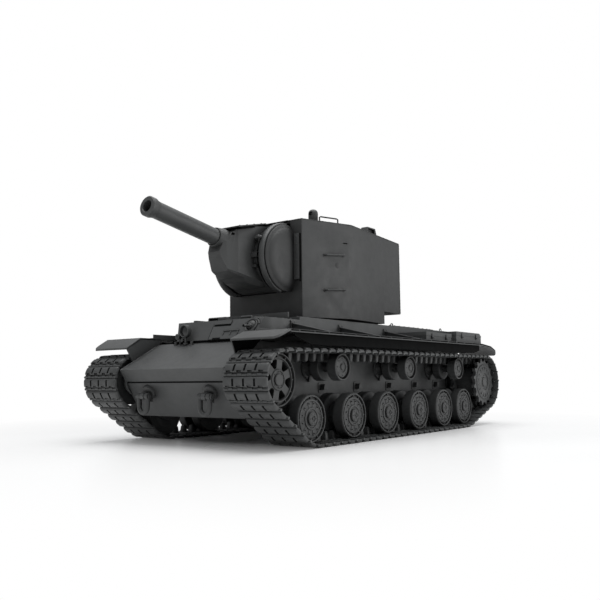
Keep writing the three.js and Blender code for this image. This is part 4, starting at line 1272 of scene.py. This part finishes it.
def turret_welds():
    """Weld beads down the front and rear corners and round the roof."""
    beads = []
    rim_z = TURRET_ROOF - 0.1
    for corner, foot in ((FRONT_CORNER, TURRET_FLOOR), (STERN_CORNER, BUSTLE_Z)):
        beads.append(weld([(*corner, foot + 0.8), (*corner, TURRET_ROOF - 0.8)], 0.35))
    beads.append(weld([(*corner, rim_z) for corner in WALL_CORNERS], 0.34))
    across = [weld([(-x, y, rim_z), (x, y, rim_z)], 0.34) for x, y in (FRONT_CORNER, STERN_CORNER)]
    piece("turret_welds", beads + flipped(beads, -1) + across, "turret", "turret", 0)


def rung(first, last, normal, stand=2.4, radius=0.55):
    """A bent wire step: two short legs out of the wall and a straight grip."""
    first, last, out = Vector(first), Vector(last), Vector(normal) * stand
    along = (last - first).normalized()
    path = [first - out * 0.3, first + out * 0.7, first + out + along * 0.7, last + out - along * 0.7,
            last + out * 0.7, last - out * 0.3]
    return tube(path, radius, 10)


def turret_steps():
    steps = []
    for z in (133.0, 165.4):
        first, last = wall_point(0.45, z), wall_point(0.83, z + 1.4)
        steps.append(rung(first, last, WALL_NORMAL, 2.6, 0.8))
        for end in (first, last):
            steps.append(facing(lathe("z", [(0, -0.2), (1.5, -0.2), (1.5, 0.4), (0, 0.5)], sides=20), end,
                                WALL_NORMAL))
    plug = facing(lathe("z", [(0, -0.3), (2.6, -0.3), (2.6, 0.12), (2.3, 0.2), (0, 0.2)], sides=36),
                  wall_point(0.71, 157), WALL_NORMAL)
    piece("turret_steps", steps + flipped(steps, -1), "turret", "turret", 0)
    piece("pistol_port_plugs", [plug, *flipped([plug], -1)], "turret", "turret", 0.05)
    top = TURRET_ROOF
    handle = tube([(47.2, -60, top - 0.5), (47.2, -60, top + 4.4), (47.6, -58.8, top + 5.0),
                   (53.6, -41.2, top + 5.0), (54.0, -40.0, top + 4.4), (54.0, -40.0, top - 0.5)], 0.7, 10)
    piece("roof_handles", [handle, *flipped([handle], -1)], "turret", "turret", 0)


def periscope():
    top = TURRET_ROOF
    profile = [(0, -0.5), (5.6, -0.5), (5.6, 1.2), (4.5, 1.6), (4.5, 8.3), (4.2, 10.3), (3.2, 11.7),
               (1.8, 12.4), (0, 12.6)]
    head = lathe("z", profile, (40, -60), 48, top)
    head = cut(head, block((38.2, 41.8), (-66, -61), (203.2, 206.6)))
    piece("periscope_head", head, "turret", "turret", 0.2)
    piece("periscope_glass", block((38.3, 41.7), (-62.6, -61.0), (203.3, 206.5)), "turret", "black", 0.1)


def sight_hoods():
    """Two sloping boxes at the roof's edges, each with a dark window in its outer wall."""
    top = TURRET_ROOF
    hoods, windows = [], []
    for sign in (1, -1):
        x = sign * 45
        shape = prism("y", [(x - sign * 5, top - 0.5), (x - sign * 5, top + 3), (x - sign * 2, top + 8.1),
                            (x + sign * 5, top + 8.1), (x + sign * 5, top - 0.5)], 16, 38)
        shape = overlap(shape, prism("x", [(16, top - 1), (19.5, top + 8.2), (34.5, top + 8.2),
                                           (38, top - 1)], -60, 60))
        mouth = block(sorted((x + sign * 2, x + sign * 6)), (21, 33), (top + 2.2, top + 6.8))
        hoods.append(cut(shape, mouth))
        windows.append(block(sorted((x + sign * 1.6, x + sign * 2.4)), (21.2, 32.8), (top + 2.4, top + 6.6)))
        for y in (14.4, 39.6):
            hoods.append(at(rivet(1.0, 0.7), x, y, top))
    piece("sight_hoods", hoods, "turret", "turret", 0.3)
    piece("sight_windows", windows, "turret", "black", 0.1)


def roof_plates():
    """The domed vent and the hatch's collar, the bolted front panel, the rivets and the lip."""
    top = TURRET_ROOF
    profile = [(0, -0.3), (9, -0.3), (9, 0.9), (8, 1.4), (7.2, 1.4), (6.6, 3.0), (4.0, 3.7), (0, 3.9)]
    vent = lathe("z", profile, (18, 2), 56, top)
    heads = studs(bolt_head(0.7, 0.6), spots_round("z", 8.1, 10, (18, 2), top + 1.2))
    inner, outer = TOP_HATCH_R - 1.5, TOP_HATCH_R + 2.4
    collar = lathe("z", [(inner, -0.3), (outer, -0.3), (outer, 0.18), (inner, 0.22)], TOP_HATCH, 64, top)
    panel = prism("z", rounded(24, 14, 1.5, (0, -62)), top - 0.3, top + 0.8)
    spots = [(x, -62 + v, top + 0.8) for x in (-21, -10.5, 0, 10.5, 21) for v in (-11.6, 11.6)]
    panel_bolts = studs(bolt_head(0.8, 0.6), spots)
    spots = row((46, -70, top), (56, -42, top), 5) + row((56.5, -20, top), (47.5, 55, top), 8)
    rim_bolts = studs(rivet(0.8, 0.5), spots)
    piece("roof_vent", [vent, *heads, collar], "turret", "turret", 0.2)
    piece("roof_front_panel", [panel, *panel_bolts], "turret", "turret", 0.15)
    piece("roof_rim_bolts", rim_bolts + flipped(rim_bolts, -1), "turret", "turret", 0)
    visor = prism("x", [(FRONT_Y - 3.4, top - 1.0), (FRONT_Y + 0.5, top - 1.3), (FRONT_Y + 0.5, top - 0.1),
                        (FRONT_Y - 3.2, top - 0.3)], -30, 30)
    piece("roof_front_lip", visor, "turret", "turret", 0.2)


def turret_floor():
    ring = lathe("z", [(41.5, 101), (45.4, 101), (45.4, TURRET_FLOOR + 0.9), (41.5, TURRET_FLOOR + 0.9)],
                 (0, TURRET_Y), 96)
    plate = prism("z", turret_plan(WALL + 0.5), TURRET_FLOOR, TURRET_FLOOR + 2.4)
    plate = cut(plate, block((-100, 100), (BUSTLE_Y - WALL - 0.5, 200), (90, 130)),
                bar("z", 41.5, 99, 115, (0, TURRET_Y), 96))
    piece("turret_floor_plate", [ring, plate], "turret", "turret", 0.3, replaces="turret_base")


def commander_hatch():
    x, y = TOP_HATCH
    pin = ANCHORS["commander_hatch_hinge"]
    base = TURRET_ROOF + 0.3
    profile = [(0, 0), (TOP_HATCH_R, 0), (TOP_HATCH_R, 1.3), (TOP_HATCH_R - 0.9, 1.9),
               (TOP_HATCH_R - 4, 2.1), (0, 2.5)]
    lid = lathe("z", profile, (x, y), 64, base)
    heads = studs(bolt_head(0.75, 0.6), spots_round("z", 14.2, 14, (x, y), base + 1.8, pi / 14))
    hinge = [bar("x", 1.3, x - 6, x + 6, (pin.y, pin.z), 20),
             block((x - 4.6, x + 4.6), (pin.y - 5, pin.y), (base + 0.8, base + 2.4))]
    grip = staple(x, y - 6, 5, base + 1.8, base + 4.2)
    plug = lathe("z", [(0, 2), (3.2, 2), (3.2, 3.0), (2.6, 3.4), (0, 3.5)], (x, y + 2), 32, base)
    piece("commander_hatch_lid", [lid, *heads, *hinge, grip, plug], "commander_hatch", "turret", 0.2,
          replaces="commander_hatch")


def rear_door():
    near = STERN_CORNER[1] + 0.3
    hinge = ANCHORS["turret_rear_door_hinge"]
    panel = prism("y", rounded(19, 24, 2, (0.5, 156)), near, near + 2.2)
    panel = cut(panel, bar("y", 6.0, near - 1, near + 5, (0, 160), 40))
    centre = (0, 160)
    ball = lathe("y", ball_profile(5.7, near + 1.2, 14), centre, 32)
    profile = [(0, 5), (1.8, 5), (1.3, 8), (1.3, 13), (0.8, 13), (0.8, 12), (0, 12)]
    barrel = lathe("y", profile, centre, 20, near)
    profile = [(6.0, 0.5), (9.4, 0.5), (9.4, 3.0), (8.6, 3.8), (6.4, 4.2), (6.0, 3.6)]
    ring = lathe("y", profile, centre, 48, near)
    heads = studs(bolt_head(0.6, 0.5), spots_round("y", 8.9, 10, centre, near + 3.2), BACK)
    spots = [(0.5 + x, near + 2.2, z) for x in (-16, 16) for z in (135, 145, 156, 167, 177)]
    heads += studs(bolt_head(0.8, 0.6), spots, BACK)
    knuckles = [bar("z", 1.4, 156 + shift - 4, 156 + shift + 4, (hinge.x, hinge.y), 20)
                for shift in (-15, 15)]
    straps = [block((8, 20.6), (near + 2, near + 3), (156 + shift - 1.6, 156 + shift + 1.6))
              for shift in (-15, 15)]
    handle = rung((-13, near + 2.2, 145), (-5, near + 2.2, 145), (0, 1, 0), 2.0, 0.5)
    piece("rear_door_panel", [panel, ring, *heads, *knuckles, *straps, handle], "turret_rear_door", "turret",
          0.25, replaces="turret_rear_door")
    piece("rear_door_ball", [ball, barrel], "turret_rear_door", "gun", 0.1)


# ---------------------------------------------------------------- gun
def on_barrel(profile):
    """A solid turned about the barrel's own axis, in the drawing frame."""
    place = Matrix.Translation((0, TRUNNION.y, TRUNNION.z)) @ Matrix.Rotation(-GUN_TILT, 4, "X")
    return moved(lathe("y", profile, (0, GUN_RISE), 64), place)


def barrel_tool(radius, low, high):
    return on_barrel([(0, low), (radius, low), (radius, high), (0, high)])


def recoil_housing():
    """The box ahead of the mask: a side outline, and sections that narrow and lean in below."""
    y, z = TRUNNION.y, TRUNNION.z
    side = [(-9, 29), (-44.5, 24.3), (-58.5, 10.6), (-62.5, 1), (-61, -4), (-54.5, -15.3),
            (-39.5, -19.6), (-33, -25), (-9, -27)]
    sections = []
    for along, wide, shoulder, narrow, foot in ((-9.5, 19, -24, 16.5, -27.5), (-20, 19, -22.5, 15.5, -26.5),
                                                (-46, 13.3, -16, 9.5, -21), (-63, 6.5, -12, 4, -17)):
        right = [(wide, z + 40), (wide, z + shoulder), (narrow, z + foot)]
        sections.append((right + [(-u, v) for u, v in reversed(right)], y + along))
    return overlap(prism("x", [(y + u, z + v) for u, v in side], -19, 19), loft("y", sections))


def mask_lugs(side, sign):
    """A hooked lifting tab, a square lug with a hole, and a smaller one below."""
    y, z = TRUNNION.y, TRUNNION.z
    tab = tube([(16.4, y - 24.5, z + 13.4), (19.6, y - 29.5, z + 14.4), (21.4, y - 31.8, z + 15.4),
                (23.6, y - 31.4, z + 16.4), (24.6, y - 28.4, z + 16.0)], 1.5, 14)
    lug = cut(block((15.4, 22.6), (y - 32.6, y - 27), (z - 1.8, z + 3.0)),
              bar("x", 1.3, 17, 23.4, (y - 30.6, z + 0.6), 20))
    low_lug = block((15.4, 20.8), (y - 31.4, y - 26), (z - 10.6, z - 8.0))
    piece(f"mask_lugs_{side}", flipped([tab, lug, low_lug], sign), "gun_mask", "turret", 0.25)


def mask_casting():
    y, z = TRUNNION.y, TRUNNION.z
    drum = bar("x", DRUM_R, -MASK_HALF, MASK_HALF, (y, z), 96)
    hollow = bar("x", DRUM_R - WALL, -26, 26, (y, z), 64)
    sleeve = on_barrel([(0, -64), (8.0, -64), (8.5, -63.6), (10.0, -56), (10.0, -40), (0, -40)])
    mask = join(drum, recoil_housing(), sleeve, bar("x", 4, -33, 33, (y, z), 32))
    mask = cut(mask, hollow, block((-26, 26), (y, y + 40), (z - 20, z + 20)))
    mask = join(mask, barrel_tool(9.25, -30, 22))
    sights = [bar("y", 1.2, y - 70, y - 44, (x, z + 17.2), 20) for x in (-11, 11)]
    mask = cut(mask, barrel_tool(7.65, -90, 60), together(sights))
    piece("mask_casting", mask, "gun_mask", "mask", 0.4, replaces="gun_mask", sharp=radians(8))


def mask_flanges():
    """The raised band at each end of the mask's drum, a near-black ring beside it as painted shade, and the
    lugs ahead of them.
    """
    y, z = TRUNNION.y, TRUNNION.z
    for side, sign in SIDES:
        band = lathe("x", [(DRUM_R - 1, 23.4), (30.6, 23.4), (31.8, 24.2), (32.3, 25.6),
                           (32.3, MASK_HALF - 0.8), (31.8, MASK_HALF), (DRUM_R - 1, MASK_HALF)], (y, z), 96)
        band = cut(band, block((20, 35), (y - 7, y + 50), (z - 60, z)),
                   block((20, 35), (y + 2, y + 50), (z - 1, z + 60)))
        piece(f"mask_flange_{side}", flipped([band], sign), "gun_mask", "gun", 0.25)
        # near-black ring: painted shade in the hollow beside the band
        recess_shade = lathe("x", [(DRUM_R - 1, 20.6), (DRUM_R + 0.12, 20.6), (DRUM_R + 0.12, 23.5),
                             (DRUM_R - 1, 23.5)], (y, z), 96)
        recess_shade = cut(recess_shade, block((20, 35), (y + 2, y + 50), (z - 60, z + 60)))
        piece(f"mask_recess_{side}", flipped([recess_shade], sign), "gun_mask", "gap", 0)
        mask_lugs(side, sign)


def mask_cover():
    """The bolted plate over the mask, and a near-black strip below it as painted shade in the gap."""
    y, z = TRUNNION.y, TRUNNION.z
    cover = at(prism("x", [(-14, 30.4), (-50, 22.6), (-50, 23.8), (-13, 31.8)], -18, 18), 0, y, z)
    # near-black strip under the cover: painted shade
    gap = at(prism("x", [(-14, 28.6), (-47, 21.2), (-47, 23.0), (-14, 30.5)], -17.2, 17.2), 0, y, z)
    spots = [(x, y - 16 - 32 * share, z + 31.2 - 7 * share) for x in (-15.6, 15.6)
             for share in (0.05, 0.35, 0.65, 0.95)]
    heads = studs(bolt_head(0.7, 0.6), spots, (0, -0.21, 0.98))
    piece("mask_cover", [cover, *heads], "gun_mask", "turret", 0.2)
    piece("mask_cover_gap", gap, "gun_mask", "gap", 0)


def gun_barrel():
    profile = [(0, MUZZLE + 25), (4.75, MUZZLE + 25), (4.75, MUZZLE + 0.6), (5.3, MUZZLE), (7.6, MUZZLE),
               (8.3, MUZZLE + 0.7), (8.3, MUZZLE + 5.2), (7.7, MUZZLE + 6.4), (7.2, MUZZLE + 9),
               (7.1, MUZZLE + 10), (7.25, -70), (7.25, 8), (0, 8)]
    piece("gun_tube", on_barrel(profile), "gun_barrel", "gun", 0.1, replaces="gun_barrel")


# ---------------------------------------------------------------- the works inside
WORKS = (("gearbox_left", "hull", "black", 0.3), ("gearbox_right", "hull", "black", 0.3),
         ("battery_pack", "hull", "battery", 1.2), ("control_board", "hull", "board", 0.15),
         ("speaker", "hull", "black", 0.3), ("traverse_motor", "hull", "steel", 0.3),
         ("elevation_unit", "turret", "black", 0.5), ("power_switch", "power_switch", "black", 0.2))


def works():
    for node, body, finish, bevel in WORKS:
        refined(node, body, finish, bevel)


for build in (tub, nose_dressing, belly_and_stern, upper_shell, plate_foot, driver_applique, driver_visor,
              machine_gun_socket, machine_gun, headlight, splash_guard, front_deck, deck_bolts, driver_hatch,
              engine_deck, engine_deck_fittings, grilles, turret_walls, cheeks, turret_welds, turret_steps,
              periscope, sight_hoods, roof_plates, turret_floor, commander_hatch, rear_door, mask_casting,
              mask_flanges, mask_cover, gun_barrel, works):
    build()
for side, sign in SIDES:
    track(side, sign)
    running_gear(side, sign)
    side_fittings(side, sign)
    tow_shackle(side, sign)
    fender(side, sign)
    fender_braces(side, sign)
    tool_box(f"tool_box_{side}", sign, (62, 100), (112, 176), 101, 3.5)
    tool_box(f"spares_box_{side}", sign, (64, 98), (48, 104), 98)


# ---------------------------------------------------------------- camera, light and floor
WALL_COLOUR = (0.97, 0.985, 1.0, 1)
WALL_LIGHT = 0.44
FLOOR_WHITE = 0.92


def studio():
    """A white studio: the camera sees pure white, the tank sees dimmer walls."""
    scene = bpy.context.scene
    scene.view_settings.view_transform = "Standard"
    scene.view_settings.look = "None"
    world = bpy.data.worlds.new("studio")
    world.use_nodes = True
    tree = world.node_tree
    wall = tree.nodes["Background"]
    wall.inputs["Color"].default_value = WALL_COLOUR
    wall.inputs["Strength"].default_value = WALL_LIGHT
    backdrop = tree.nodes.new("ShaderNodeBackground")
    backdrop.inputs["Color"].default_value = (1, 1, 1, 1)
    seen = tree.nodes.new("ShaderNodeLightPath").outputs["Is Camera Ray"]
    mix = tree.nodes.new("ShaderNodeMixShader")
    for source, target in ((seen, 0), (wall.outputs[0], 1), (backdrop.outputs[0], 2)):
        tree.links.new(source, mix.inputs[target])
    tree.links.new(mix.outputs[0], tree.nodes["World Output"].inputs["Surface"])
    scene.world = world


def softbox(name, place, size, power, aim=(0, 0, 0.06)):
    light = bpy.data.lights.new(name, "AREA")
    light.size = size
    light.energy = power
    holder = new_object(name, light)
    holder.location = place
    holder.rotation_euler = (Vector(aim) - Vector(place)).to_track_quat("-Z", "Y").to_euler()


def studio_floor():
    """A white table that fades to pure white away from the tank, so that no horizon shows."""
    nodes = Nodes("white_floor")
    length = nodes.tree.nodes.new("ShaderNodeVectorMath")
    length.operation = "LENGTH"
    nodes.link(nodes.place, length.inputs[0])
    away = nodes.spread(length.outputs["Value"], 0.13, 0.48, 0.0, 1.0)
    nodes.link(nodes.spread(nodes.noise(3, 2), 0.3, 0.7, 0.22, 0.28), nodes.shader.inputs["Roughness"])
    nodes.shader.inputs["Base Color"].default_value = (FLOOR_WHITE, FLOOR_WHITE, FLOOR_WHITE, 1)
    glow = nodes.tree.nodes.new("ShaderNodeEmission")
    glow.inputs["Color"].default_value = (1, 1, 1, 1)
    mix = nodes.tree.nodes.new("ShaderNodeMixShader")
    for source, target in ((away, 0), (nodes.shader.outputs[0], 1), (glow.outputs[0], 2)):
        nodes.link(source, mix.inputs[target])
    nodes.link(mix.outputs[0], nodes.tree.nodes["Material Output"].inputs["Surface"])
    mesh = bpy.data.meshes.new("floor")
    half = 30.0
    mesh.from_pydata([(-half, -half, 0), (half, -half, 0), (half, half, 0), (-half, half, 0)], [],
                     [(0, 1, 2, 3)])
    mesh.materials.append(nodes.material)
    new_object("floor", mesh)


CAMERA_AT = (429.5, -597.4, 52.8)
CAMERA_YAW = 37.06
CAMERA_PITCH = 6.2
CAMERA_ROLL = 0.59
CAMERA_LENS = 43.54


def camera():
    data = bpy.data.cameras.new("camera")
    data.lens = CAMERA_LENS
    data.clip_start = 0.01
    holder = new_object("camera", data)
    yaw, pitch, roll = (radians(angle) for angle in (CAMERA_YAW, CAMERA_PITCH, CAMERA_ROLL))
    turn = Matrix.Rotation(yaw, 4, "Z") @ Matrix.Rotation(pi / 2 + pitch, 4, "X") @ Matrix.Rotation(-roll, 4,
                                                                                                    "Z")
    holder.matrix_world = Matrix.Translation(TO_FRAME @ Vector(CAMERA_AT)) @ turn
    bpy.context.scene.camera = holder


studio()
studio_floor()
softbox("top_softbox", (0.1, 0.0, 1.1), 1.2, 17)
softbox("side_softbox", (1.1, 0.55, 0.22), 0.6, 4)
camera()
